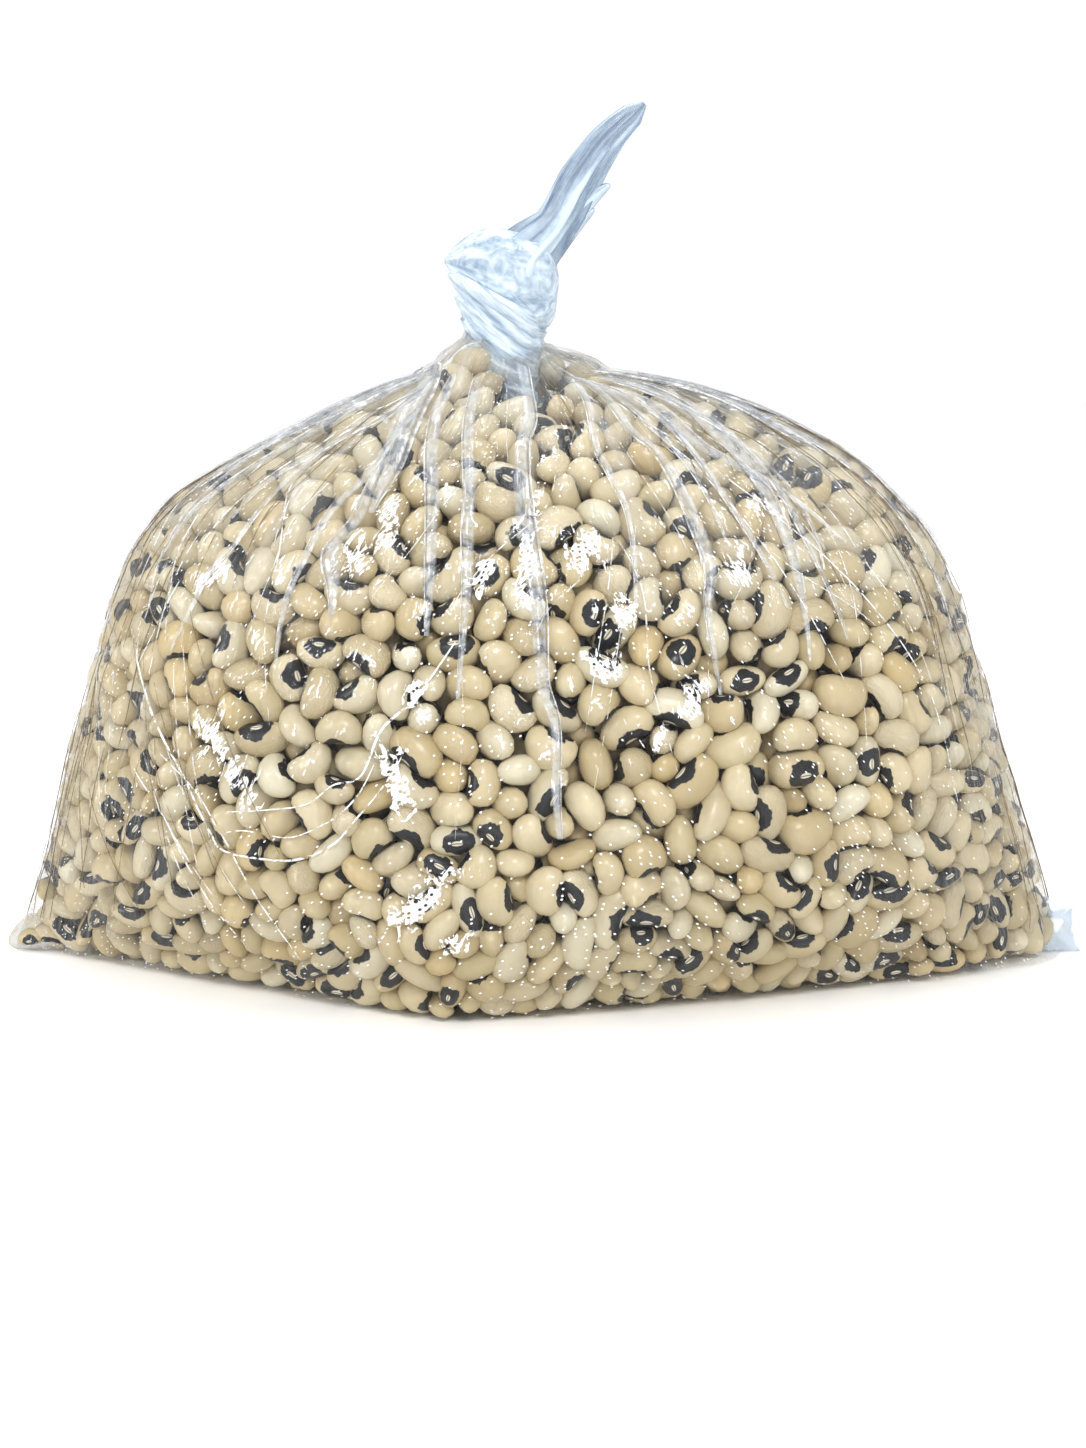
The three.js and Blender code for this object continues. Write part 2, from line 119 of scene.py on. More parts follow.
def film_grid(columns, rows, base_rows):
    """Rows of points from the middle of the base, out to its edge, and up the side to the neck"""
    turn = np.linspace(0, 2 * np.pi, columns, endpoint=False)
    turn = turn + 0.125 * np.sin(2 * turn)  # closer together at the corners
    height = DOME_HEIGHT * (1 - (1 - np.linspace(0, 1, rows) * ROWS_END) ** ROW_CROWDING)
    side = gathered(film_point(turn[None, :], height[:, None]))
    share = np.linspace(0, 1, base_rows + 1)[1:-1]
    base = side[0][None] * share[:, None, None]
    return np.concatenate([base, side]), turn


def grid_faces(rows, columns):
    """Quads of a grid closed round its columns, with a fan of triangles over each end"""
    row = np.arange(rows - 1)[:, None] * columns
    near = np.arange(columns)[None]
    far = (near + 1) % columns
    quads = np.stack([row + near, row + far, row + far + columns, row + near + columns], -1)
    count = rows * columns
    first = np.stack([0 * near + count, far, near], -1)[0]
    last = np.stack([0 * near + count + 1, count - columns + near, count - columns + far], -1)[0]
    return quads.reshape(-1, 4).tolist() + first.tolist() + last.tolist()


def closed_grid(grid):
    """All points of a closed grid with its two end points, and its faces"""
    ends = np.stack([grid[0].mean(0), grid[-1].mean(0)])
    return np.concatenate([grid.reshape(-1, 3), ends]), grid_faces(*grid.shape[:2])


# The beans
# Dried black-eyed beans, poured in and shaken down until they touch, and pressed flat on the
# film from inside. Each is a kidney 8 to 10 mm long, with a thin smooth skin that is creamy, and a
# black patch round the pale scar where it hung in the pod.
SEED = 29
BEAN_LENGTH = 8.9
BEAN_WIDTH = 6.5
BEAN_THICKNESS = 5.5
COARSE_GRID = (240, 110, 14)  # columns, rows and base rows
SHELL_DEPTH = 14.0  # the beans are laid this far in from the film, two to three deep
BEAN_SHARE = 0.585  # of that space filled by beans
CELL = 3.0  # spacing of the lattice that holds the distance to the film
CHAIN_OFFSET = np.array([-1.8, 0, 1.8])  # each bean is felt by its neighbours as three balls
CHAIN_RADIUS = np.array([2.62, 2.95, 2.62])
BEAN_REACH = 10.5  # beans further apart than this can't touch
FILM_GAP = 0.35  # the balls stay this far inside the film, because a real bean is a little fuller
LEVEL_SLIMMING = 0.14  # beans that lie level show their thin side, and take less room in height
TOUCHING = 0.15  # at last, the outermost point of an outer bean is this far inside the film
LYING_FLAT = 0.8  # how much of each bean's first slant towards the film is taken out
SHEATH_FOOT = 100.5  # height, x and y of the knot's lower end, which sits between the top beans
SHEATH_FOOT_X = -3.0
SHEATH_FOOT_Y = -3.2
CORNER_BEANS = [  # middle, long way and size
    ((-97.3, -0.3, 2.6), (1.0, -0.1, 0.2), 0.55),
    ((-92.0, -1.6, 8.2), (0.5, -0.3, 0.8), 0.8),
    ((-89.0, -4.0, 3.2), (1.0, -0.5, 0.1), 0.85),
    ((-88.6, -2.8, 13.0), (0.6, -0.3, -0.7), 0.85),
    ((94.0, -0.8, 2.9), (1.0, 0.3, -0.2), 0.78),
    ((91.6, -1.6, 8.0), (0.6, 0.3, 0.7), 0.8),
    ((88.6, -4.0, 3.2), (1.0, 0.4, 0.1), 0.85),
    ((87.8, -2.8, 13.0), (0.5, 0.3, -0.8), 0.85),
]
CORNER_ROOM = 3.0
SKIN_DEPTH = 5.6  # beans whose middles are nearer to the film than this can be seen well


def unit(vectors):
    return vectors / np.maximum(np.linalg.norm(vectors, axis=-1, keepdims=True), 1e-9)


def new_mesh(name, points, faces):
    mesh = bpy.data.meshes.new(name)
    mesh.from_pydata((np.asarray(points) * MM).tolist(), [], faces)
    mesh.shade_smooth()
    mesh.update()
    return mesh


def new_object(name, mesh, material=None):
    made = bpy.data.objects.new(name, mesh)
    bpy.context.scene.collection.objects.link(made)
    if material:
        made.data.materials.clear()
        made.data.materials.append(material)
    return made


def vertex_values(mesh, **layers):
    """Keeps a number or a vector with each point of a mesh, for its material to read"""
    for name, values in layers.items():
        kind, key = ("FLOAT_VECTOR", "vector") if np.ndim(values) == 2 else ("FLOAT", "value")
        layer = mesh.attributes.new(name, kind, "POINT")
        layer.data.foreach_set(key, np.asarray(values, dtype=np.float32).ravel())


def linear(hex_colour):
    """An sRGB colour such as "e6d6ae" as linear red, green, blue and an alpha of 1"""
    parts = [int(hex_colour[i : i + 2], 16) / 255 for i in (0, 2, 4)]
    parts = [p / 12.92 if p <= 0.04045 else ((p + 0.055) / 1.055) ** 2.4 for p in parts]
    return (*parts, 1.0)


def node(tree, family, kind, inputs=(), output=0, **settings):
    """Adds a node, sets it, links or fills its inputs, in order or by name, and gives one output"""
    made = tree.nodes.new(family + kind)
    for key, value in settings.items():
        setattr(made, key, value)
    for key, value in inputs.items() if isinstance(inputs, dict) else enumerate(inputs):
        socket = made.inputs[key]
        if isinstance(value, bpy.types.NodeSocket):
            tree.links.new(value, socket)
        elif socket.type == "RGBA" and isinstance(value, str):
            socket.default_value = linear(value)
        else:
            socket.default_value = value
    return made.outputs[output] if made.outputs else None


def new_material(name):
    """An empty node material, and the function that adds a node to it"""
    material = bpy.data.materials.new(name)
    material.use_nodes = True
    material.node_tree.nodes.clear()
    return material, partial(node, material.node_tree, "ShaderNode")


rng = np.random.default_rng(SEED)
coarse_points, coarse_faces = closed_grid(film_grid(*COARSE_GRID)[0])
coarse_tree = BVHTree.FromPolygons([Vector(p) for p in coarse_points], coarse_faces)
lattice_low = np.array([-108.0, -60.0, -6.0])
lattice_high = np.array([108.0, 60.0, 124.0])
lattice_count = np.ceil((lattice_high - lattice_low) / CELL).astype(int) + 1
distance_field = np.zeros(lattice_count)
for cell in np.ndindex(*lattice_count):
    place = Vector(lattice_low + CELL * np.array(cell))
    nearest, outward_there, _, gap = coarse_tree.find_nearest(place)
    distance_field[cell] = gap if (place - nearest).dot(outward_there) > 0 else -gap


def depth_at(points):
    """Signed distance to the smooth film, read between the lattice's points: inside is negative"""
    at = np.clip((points - lattice_low) / CELL, 0, lattice_count - 1.001)
    corner = at.astype(int)
    part = at - corner
    total = 0
    for step in np.ndindex(2, 2, 2):
        weight = np.prod(np.where(np.array(step) == 1, part, 1 - part), axis=-1)
        i, j, k = (corner[..., n] + step[n] for n in range(3))
        total = total + weight * distance_field[i, j, k]
    return total


def outward_at(points):
    slope = [depth_at(points + step) - depth_at(points - step) for step in np.eye(3)]
    return unit(np.stack(slope, -1))


def level_share(points):
    """How far beans at these places lie level, as they fell: all of them low down and at the sides"""
    low = 0.9 * smooth(38, 14, points[:, 2])
    side = 0.8 * smooth(45, 76, np.abs(points[:, 0]))
    return np.maximum(low, side)


def settle(middle, axis, size, steps, press):
    """Moves overlapping beans apart, keeps them inside the film, and presses them out to it"""
    count = len(middle)
    radius = CHAIN_RADIUS[None] * size[:, None]
    for step in range(steps):
        if step % 8 == 0:
            index = KDTree(count)
            for bean, place in enumerate(middle):
                index.insert(place, bean)
            index.balance()
            near = [
                (bean, other)
                for bean, place in enumerate(middle)
                for _, other, _ in index.find_range(place, BEAN_REACH)
                if other > bean
            ]
            one, two = np.array(near).T
        balls = middle[:, None] + axis[:, None] * (CHAIN_OFFSET[None, :, None] * size[:, None, None])
        apart = balls[one][:, :, None] - balls[two][:, None]
        distance = np.maximum(np.linalg.norm(apart, axis=-1), 1e-6)
        overlap = radius[one][:, :, None] + radius[two][:, None] - distance
        pair, first, second = np.argwhere(overlap > 0).T
        way = apart[pair, first, second] / distance[pair, first, second][:, None]
        push = way * overlap[pair, first, second][:, None] * 0.5
        ends = one[pair] * 3 + first, two[pair] * 3 + second
        pushed = [[np.bincount(end, part, count * 3) for end in ends] for part in push.T]
        move = np.stack([forth - back for forth, back in pushed], -1)
        times = sum(np.bincount(end, minlength=count * 3) for end in ends)
        move = move / np.maximum(times, 1)[:, None] * 1.3
        balls = balls + move.reshape(count, 3, 3)
        out = outward_at(balls)
        depth = depth_at(balls)
        past = depth + radius + FILM_GAP
        balls = balls - out * np.maximum(past, 0)[..., None] + out * press * (past < -0.02)[..., None]
        balls = balls + out * np.maximum(radius - depth - SHELL_DEPTH, 0)[..., None]
        balls[..., 2] = np.maximum(balls[..., 2], radius)
        middle = balls.mean(axis=1)
        axis = unit(balls[:, 2] - balls[:, 0])
    return middle, axis


tries = lattice_low + rng.random((400000, 3)) * (lattice_high - lattice_low)
tries_depth = depth_at(tries)
shell = ((tries_depth < 0) & (tries_depth > -SHELL_DEPTH)).mean() * np.prod(lattice_high - lattice_low)
bean_volume = BEAN_LENGTH * BEAN_WIDTH * BEAN_THICKNESS * np.pi / 6
slimness = 1 - LEVEL_SLIMMING * level_share(tries)
crowding = rng.random(len(tries)) < ((1 - LEVEL_SLIMMING) / slimness) ** 3
chosen = (tries_depth < -3) & (tries_depth > 2 - SHELL_DEPTH) & crowding
bean_count = int(int(BEAN_SHARE * shell / bean_volume) * np.mean(slimness[chosen] ** -3.0))
middles = tries[chosen][:bean_count]
level = level_share(middles)
axes = rng.normal(size=(bean_count, 3))
film_way = outward_at(middles)
axes = unit(axes - LYING_FLAT * film_way * np.sum(axes * film_way, axis=1, keepdims=True))
axes[:, 2] *= 1 - 0.75 * level
axes = unit(axes)
sizes = np.clip(rng.normal(1, 0.07, bean_count), 0.84, 1.17) * (1 - LEVEL_SLIMMING * level)
settling_steps = 230
middles, axes = settle(middles, axes, sizes, settling_steps, 0.05)
middles, axes = settle(middles, axes, sizes, settling_steps // 2, 0.0)

# A few are squeezed out at the pinched corners or up into the knot, and those are left out.
from_neck = np.hypot(middles[:, 0] - SHEATH_FOOT_X, middles[:, 1] - SHEATH_FOOT_Y)
under_knot = (from_neck < 6.2) & (middles[:, 2] > SHEATH_FOOT - 2)
kept = (depth_at(middles) < -1.8) & (np.abs(middles[:, 0]) < HALF_WIDTH - 4) & ~under_knot
middles, axes, sizes, level = middles[kept], axes[kept], sizes[kept], level[kept]

# The few that lie in the thin corners are put there one by one, where there is room for them.
for place, way, size in CORNER_BEANS:
    if np.linalg.norm(middles - place, axis=1).min() > CORNER_ROOM:
        middles = np.concatenate([middles, [place]])
        axes = np.concatenate([axes, [unit(np.array(way))]])
        sizes, level = np.append(sizes, size), np.append(level, 0.8)
bean_count = len(middles)

# Most lie on their broad side, so that the eye is at an edge, and some show it to the film.
out_of_bean = outward_at(middles)
flat_way = unit(out_of_bean - axes * np.sum(out_of_bean * axes, axis=1, keepdims=True))
side_way = np.cross(axes, flat_way)
lying = rng.choice([-1, 1], bean_count) * np.radians(rng.normal(92, 26, bean_count))
roll = np.where(rng.random(bean_count) < 0.42, rng.uniform(-np.pi, np.pi, bean_count), lying)
eye_way = flat_way * np.cos(roll)[:, None] + side_way * np.sin(roll)[:, None]
level_way = unit(np.cross(axes, (0, 0, 1.0)))
rise_way = np.cross(level_way, axes)
peek = rng.choice([0, 180, 58, -58], bean_count, p=(0.2, 0.35, 0.25, 0.2))
peek = np.radians(peek + rng.normal(0, 20, bean_count))
outward_sign = np.where(np.sum(level_way * out_of_bean, axis=1) < 0, -1, 1)[:, None]
level_eye = level_way * outward_sign * np.cos(peek)[:, None] + rise_way * np.sin(peek)[:, None]
eye_way = np.where((rng.random(bean_count) < level)[:, None], level_eye, eye_way)
bean_frames = np.stack([axes, eye_way, np.cross(axes, eye_way)], axis=-1)
stretch = sizes[:, None] * np.clip(rng.normal(1, (0.08, 0.06, 0.06), (bean_count, 3)), 0.86, 1.16)
stretch[:, :2] /= 1 - 0.75 * LEVEL_SLIMMING * level[:, None]
half_sizes = np.array([BEAN_LENGTH, BEAN_WIDTH + 0.8, BEAN_THICKNESS]) / 2 * stretch
reach_out = np.linalg.norm(np.einsum("nij,ni->nj", bean_frames, out_of_bean) * half_sizes, axis=1)
short = -TOUCHING - depth_at(middles) - reach_out
touching = (short > -1.2) & (short < 1.1)
middles += out_of_bean * np.where(touching, np.clip(short, -1.0, 0.8), 0)[:, None]
lowest = middles[:, 2] - np.linalg.norm(bean_frames[:, 2] * half_sizes, axis=1)
middles[:, 2] += np.maximum(0.3 - lowest, 0)
# Bean tones differ at random, and beans low down also get painted shade: a deeper tone near the floor.
bean_tones_and_foot_shade = rng.random(bean_count) + 0.5 * smooth(26, 3, middles[:, 2])  # darker at the foot
bean_seeds = rng.random(bean_count)
around_x = np.arctan2(bean_frames[:, 2, 1], bean_frames[:, 2, 2])
around_y = -np.arcsin(np.clip(bean_frames[:, 2, 0], -1, 1))
around_z = np.arctan2(bean_frames[:, 1, 0], bean_frames[:, 0, 0])
bean_turns = np.stack([around_x, around_y, around_z], -1)


def unit_bean(name, form, around, along):
    """One bean at true size: its long side on X, its eye on +Y, with its own map and places"""
    length, width, thickness, bend, skew, bluntness, flat = form
    share = np.linspace(0, np.pi, along + 1)[1:-1]
    turn = np.linspace(0, 2 * np.pi, around, endpoint=False)
    x = length / 2 * np.cos(share)[:, None] + 0 * turn[None]
    full = np.sin(share)[:, None] ** bluntness * (1 + skew * np.cos(share)[:, None])
    y = full * width / 2 * np.cos(turn)[None]
    z = full * thickness / 2 * np.sin(turn)[None]
    z = np.where(z < 0, z * flat, z)
    notch = 0.3 * np.exp(-((x / 1.7) ** 2)) * np.maximum(np.cos(turn)[None], 0) ** 3
    y = y + bend * ((2 * x / length) ** 2 - 0.35) - notch
    tips = [[sign * length / 2, bend * 0.65, 0] for sign in (1, -1)]
    points = np.concatenate([np.stack([x, y, z], -1).reshape(-1, 3), np.array(tips)])
    mesh = new_mesh(name, points, [face[::-1] for face in grid_faces(along - 1, around)])
    vertex_values(mesh, bean_at=points)
    corners = np.array([loop.vertex_index for loop in mesh.loops])
    rows = np.append(np.repeat(np.arange(1, along), around), [0, along])[corners] / along
    columns = np.append(np.tile(np.arange(around), along - 1), [0, 0])[corners] / around
    for face in mesh.polygons:
        ids = np.array(face.loop_indices)
        tip = corners[ids] >= (along - 1) * around
        if columns[ids][~tip].max() - columns[ids][~tip].min() > 0.5:
            columns[ids] = np.where(columns[ids] < 0.5, columns[ids] + 1, columns[ids])
        columns[ids[tip]] = columns[ids[~tip]].mean()
    layer = mesh.uv_layers.new(name="OFBake")
    layer.data.foreach_set("uv", np.stack([columns, rows], -1).astype(np.float32).ravel())
    return mesh


# This tree puts one bean on each point, turned and stretched as the point says, and makes it real.
scattering = bpy.data.node_groups.new("beans_on_points", "GeometryNodeTree")
for label, kind in (("Points", "Geometry"), ("Bean", "Object"), ("Skin", "Material")):
    scattering.interface.new_socket(label, in_out="INPUT", socket_type="NodeSocket" + kind)
scattering.interface.new_socket("Beans", in_out="OUTPUT", socket_type="NodeSocketGeometry")
given = node(scattering, "NodeGroup", "Input").node.outputs
add = partial(node, scattering, "GeometryNode")
placed = {
    "Points": given["Points"],
    "Instance": add("ObjectInfo", {"Object": given["Bean"]}, "Geometry"),
    "Rotation": add("InputNamedAttribute", {"Name": "turn"}, data_type="FLOAT_VECTOR"),
    "Scale": add("InputNamedAttribute", {"Name": "stretch"}, data_type="FLOAT_VECTOR"),
}
real = add("RealizeInstances", (add("InstanceOnPoints", placed),))
skinned = add("SetMaterial", {"Geometry": real, "Material": given["Skin"]})
node(scattering, "NodeGroup", "Output", (skinned,))


def scattered(name, chosen, bean, skin):
    """One piece that holds a copy of the bean for each chosen place, with its own part of the map"""
    carrier = bpy.data.meshes.new(name + "_places")
    carrier.from_pydata((middles[chosen] * MM).tolist(), [], [])
    vertex_values(carrier, turn=bean_turns[chosen], stretch=stretch[chosen])
    vertex_values(carrier, tone=bean_tones_and_foot_shade[chosen], seed=bean_seeds[chosen])
    holder = new_object(name + "_points", carrier)
    settings = {"Bean": new_object(name + "_pattern", bean), "Skin": skin}
    modifier = holder.modifiers.new("grow", "NODES")
    modifier.node_group = scattering
    for item in scattering.interface.items_tree:
        if item.name in settings:
            modifier[item.identifier] = settings[item.name]
    depsgraph = bpy.context.evaluated_depsgraph_get()
    mesh = bpy.data.meshes.new_from_object(
        holder.evaluated_get(depsgraph), preserve_all_data_layers=True, depsgraph=depsgraph
    )
    mesh.name = name
    bpy.data.objects.remove(holder)
    bpy.data.objects.remove(settings["Bean"])
    count = int(np.sum(chosen))
    cells = math.ceil(math.sqrt(count))
    layer = mesh.uv_layers["OFBake"]
    uv = np.zeros(len(mesh.loops) * 2, dtype=np.float32)
    layer.data.foreach_get("uv", uv)
    uv = uv.reshape(count, -1, 2)
    uv[..., 0] /= uv[..., 0].max()
    corner = np.stack([np.arange(count) % cells, np.arange(count) // cells], -1)[:, None]
    uv = (corner + 0.03 + 0.94 * uv) / cells
    layer.data.foreach_set("uv", uv.astype(np.float32).ravel())
    piece = new_object(name, mesh, skin)
    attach(piece, "root")
    return piece


def bean_skin(name, pale, deep, wrinkle):
    """Dried bean skin: smooth and half matt, faintly mottled, with a ragged black eye"""
    material, add = new_material(name)
    at = add("Attribute", output="Vector", attribute_name="bean_at")
    tone, seed = (add("Attribute", output="Fac", attribute_name=key) for key in ("tone", "seed"))
    own = add("VectorMath", (at, add("Math", (seed, 940.0), operation="MULTIPLY")), operation="ADD")
    mottle = add("TexNoise", {"Vector": own, "Scale": 0.28, "Detail": 3.0})
    # The tone differs at random, and near the bag's foot it also holds painted shade.
    toned = add("MapRange", (add("Math", (tone, mottle), operation="ADD"), 0.45, 1.55))
    colour = add("Mix", {0: toned, 6: pale, 7: deep}, 2, data_type="RGBA")
    x, y, z = add("SeparateXYZ", (at,)).node.outputs
    ragged = add("TexNoise", {"Vector": own, "Scale": 0.55})

    def oval(half_length, half_width, offset, rough, edge):
        """1 inside an oval on the eye's side and 0 outside it, with a ragged edge"""
        along = add("Math", (x, offset), operation="SUBTRACT")
        along = add("Math", (along, half_length), operation="DIVIDE")
        across = add("Math", (z, half_width), operation="DIVIDE")
        flat = add("CombineXYZ", (along, across))
        length = add("VectorMath", (flat,), "Value", operation="LENGTH")
        length = add("Math", (ragged, rough, length), operation="MULTIPLY_ADD")
        inside = add("MapRange", (length, *edge, 1.0, 0.0))
        return add("Math", (inside, eye_side), operation="MULTIPLY")

    eye_side = add("MapRange", (y, 0.4, 0.6))
    patch = oval(2.8, 2.05, 0.3, 0.7, (1.31, 1.36))
    scar = oval(1.0, 0.42, 0.0, 0.3, (1.08, 1.22))
    slit = add("MapRange", (add("Math", (z,), operation="ABSOLUTE"), 0.05, 0.12, 1.0, 0.0))
    slit = add("Math", (slit, scar), operation="MULTIPLY")
    for share, tint in ((patch, "12151c"), (scar, "e0d9c6"), (slit, "6d6658")):
        colour = add("Mix", {0: share, 6: colour, 7: tint}, 2, data_type="RGBA")
    long_way = add("VectorMath", (own, (0.35, 1.0, 1.0)), operation="MULTIPLY")
    creases = add("TexNoise", {"Vector": long_way, "Scale": 1.5, "Detail": 3.0, "Distortion": 1.2})
    bumped = add("Bump", {"Height": creases, "Strength": wrinkle, "Distance": 0.0006})
    skin = {"Base Color": colour, "Roughness": 0.3, "IOR": 1.5, "Normal": bumped}
    add("OutputMaterial", (add("BsdfPrincipled", skin),))
    return material


# Each kind: its share, then length, width, thickness, bend, taper, bluntness of the ends and
# fullness of the back, its pale and deep colour, and how wrinkled its skin is.
KINDS = [
    ("cream_beans", 0.33, (8.9, 6.5, 5.5, 0.75, 0.07, 0.82, 1.0), ("d8ccad", "bcad86"), 0.06),
    ("ivory_beans", 0.27, (9.3, 6.1, 5.3, 1.0, -0.05, 0.86, 1.0), ("dbd5be", "c3b696"), 0.06),
    ("blunt_beans", 0.20, (8.6, 6.8, 5.7, 0.6, 0.02, 0.66, 1.0), ("d4c6a4", "bcab84"), 0.06),
    ("golden_beans", 0.04, (8.5, 6.5, 5.6, 0.6, 0.05, 0.84, 1.0), ("d3c198", "c4b083"), 0.06),
    ("wrinkled_beans", 0.13, (8.8, 6.6, 5.4, 0.8, 0.08, 0.8, 1.0), ("d4c9ad", "bbac89"), 0.5),
    ("flat_beans", 0.03, (8.7, 6.3, 5.6, 0.5, 0.04, 0.8, 0.6), ("cfc09e", "bdab80"), 0.15),
]
INNER_FORM = (8.8, 6.4, 5.4, 0.8, 0.04, 0.8, 1.0)
OUTER_FACES = (12, 8)
INNER_FACES = (8, 6)
kinds = rng.random(bean_count)
seen = depth_at(middles) > -SKIN_DEPTH
bean_pieces = []
start = 0.0
for name, share, form, colours, wrinkle in KINDS:
    chosen = seen & (kinds >= start) & (kinds < start + share + 1e-6)
    start += share
    skin = bean_skin(name[:-1] + "_skin", *colours, wrinkle)
    bean_pieces.append(scattered(name, chosen, unit_bean(name + "_one", form, *OUTER_FACES), skin))
# The inner beans are coloured darker than the outer ones as painted shade for the gaps between the outer
# beans.
inner_shaded_skin = bean_skin("shaded_inner_bean_skin", "c6b790", "a8956f", 0.0)
inner_bean = unit_bean("inner_bean_one", INNER_FORM, *INNER_FACES)
bean_pieces.append(scattered("inner_beans", ~seen, inner_bean, inner_shaded_skin))

# The heap inside
# The rest of the beans, which only show as a warm shade in the gaps between the outer ones, painted
# into its dark brown colour. It is one closed mass with a bean's relief, laid as deep as the beans in front
# of it reach.
HEAP_GRID = (160, 80, 10)
HEAP_SHARE = (0.87, 0.73, 0.86)
HEAP_FOOT = 3.0
heap_points, heap_faces = closed_grid(film_grid(*HEAP_GRID)[0])
heap_waves = 1 + 0.012 * np.prod(np.sin(heap_points * (0.75, 0.8, 0.7)), axis=1)
heap_points = heap_points * HEAP_SHARE * heap_waves[:, None] + (0, 0, HEAP_FOOT)
heap_skin, add = new_material("shaded_bean_heap")
speckle = add("TexVoronoi", {"Vector": add("TexCoord", output="Object"), "Scale": 130.0})
# Its browns are painted shade, the colour of beans deep in shade, finely speckled.
heap_colour = add("Mix", {0: speckle, 6: "a38f6a", 7: "564a3b"}, 2, data_type="RGBA")
add("OutputMaterial", (add("BsdfPrincipled", {"Base Color": heap_colour, "Roughness": 0.7}),))
heap = new_object("bean_heap", new_mesh("bean_heap", heap_points, heap_faces), heap_skin)
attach(heap, "root")

# The film
# One closed skin of clear blown polyethylene, about 0.05 mm thick, drawn tight by the knot. It
# touches the tops of the beans, sags a little between them, and is gathered into folds at the neck.
FILM_COLUMNS = 480
FILM_ROWS = 172
BASE_ROWS = 18
SAG = 0.008  # how hard the film is drawn inwards between the beans
CLEAR = 0.12  # the film stays this far off the beans
DEEPEST_SAG = 3.0
CORNER_HEIGHT = 10.0  # below this the bag's two corners are thin, and the film can't sag into them
SAGGING_STEPS = 260
RAY_START = 4.0  # the beans are felt for from this far outside the film, and this far in
RAY_LENGTH = 12.0
GATHERS = 34
GIRTH_RADIUS = 72.0


def with_ends(values, ends=None):
    """Values at a closed grid's points and at its two end points, which take its own unless given"""
    ends = (values[0, 0], values[-1, 0]) if ends is None else ends
    return np.concatenate([values.reshape(-1, *values.shape[2:]), ends])


def add_film_piece(name, mesh, material):
    """A piece of film, which takes the solid's place"""
    piece = new_object(name, mesh, material)
    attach(piece, "root")
    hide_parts("filled_bag")


grid, turns = film_grid(FILM_COLUMNS, FILM_ROWS, BASE_ROWS)
grid_x, grid_y, grid_z = np.moveaxis(grid, -1, 0)
normals = unit(np.cross(np.roll(grid, -1, 1) - np.roll(grid, 1, 1), np.gradient(grid, axis=0)))
normals[:BASE_ROWS] = (0, 0, -1)
edge = grid[BASE_ROWS]
up_the_wall = grid[BASE_ROWS + 2] - grid[BASE_ROWS - 1]
wall_below = unit(np.cross(np.roll(edge, -1, 0) - np.roll(edge, 1, 0), up_the_wall))
for row, share in enumerate((0.25, 0.6, 0.8, 0.92), BASE_ROWS - 2):
    normals[row] = unit(wall_below * share + np.array([0, 0, -1.0]) * (1 - share))
depsgraph = bpy.context.evaluated_depsgraph_get()
bean_trees = [BVHTree.FromObject(piece, depsgraph) for piece in bean_pieces]
support = np.full(grid.shape[:2], RAY_START - RAY_LENGTH)
for row, column in np.ndindex(*support.shape):
    way = Vector(-normals[row, column])
    begin = Vector(grid[row, column] * MM) - way * RAY_START * MM
    for bean_tree in bean_trees:
        distance = bean_tree.ray_cast(begin, way, RAY_LENGTH * MM)[3]
        if distance is not None:
            support[row, column] = max(support[row, column], RAY_START - distance / MM)
thin = 0.3 + 0.35 * np.abs(grid_y) + DEEPEST_SAG * (1 - np.exp(-grid_z / CORNER_HEIGHT))
support = np.maximum(support, -np.minimum(DEEPEST_SAG, thin)) + CLEAR
height = np.zeros_like(support)
for _ in range(SAGGING_STEPS):
    around = np.roll(height, 1, 1) + np.roll(height, -1, 1)
    above = np.concatenate([height[1:], height[-1:]])
    below = np.concatenate([height[:1], height[:-1]])
    height = np.maximum(support, (around + above + below) / 4 - SAG)

# Gathers: narrow ridges that run down from the neck, each with its own place, height and length
gather_turn = (np.arange(GATHERS) + rng.uniform(-0.35, 0.35, GATHERS)) * 2 * np.pi / GATHERS
gather_end = rng.uniform(48, 92, GATHERS)
gather_height = rng.uniform(0.6, 1.6, GATHERS)
gather_lean = rng.uniform(-0.12, 0.12, GATHERS)
neck_reach = np.hypot(grid_x - NECK_X, grid_y)
ridges = np.zeros_like(height)
for centre, end, tall, lean in zip(gather_turn, gather_end, gather_height, gather_lean):
    centre = centre + lean * (1 - grid_z / 110)
    off = (turns[None] - centre + np.pi) % (2 * np.pi) - np.pi
    across = off * np.maximum(neck_reach, 6)
    strength = smooth(end, 112, grid_z)
    half = 0.75 + 1.2 * (1 - strength)
    ridges = np.maximum(ridges, tall * strength * np.exp(-((across / half) ** 2)))
ridges[:BASE_ROWS] = 0
film = grid + normals * (height + ridges)[..., None]
film[: BASE_ROWS - 1, :, 2] = 0.0
film[..., 2] = np.maximum(film[..., 2], 0.0)
film_mesh = new_mesh("clear_film", *closed_grid(film))

# What the material reads: places on the film as it was before it was filled, how milky it is, where
# it has streaks of painted sheen and painted shade, where it touches a bean, and how brightly it shines,
# which is less under the bag.
climb = np.cumsum(np.linalg.norm(np.gradient(grid, axis=0), axis=-1), axis=0)
round_place = GIRTH_RADIUS * np.stack([np.cos(turns), np.sin(turns)], -1)[None]
film_at = np.concatenate([np.repeat(round_place, len(grid), 0), climb[..., None]], -1)
flat_at = np.stack(np.broadcast_arrays(GIRTH_RADIUS * turns[None], climb, 0 * climb), -1)
from_middle = np.abs(grid_x - NECK_X)
contact = np.exp(-np.maximum(height - support, 0) / 0.3)
fold_haze = 0.5 * np.clip(ridges / 1.2, 0, 1)
neck_haze = 0.55 * smooth(15, 7, neck_reach) * (grid_z > 90)
shoulder_haze = 0.25 * smooth(62, 96, grid_z) * smooth(12, 40, from_middle)
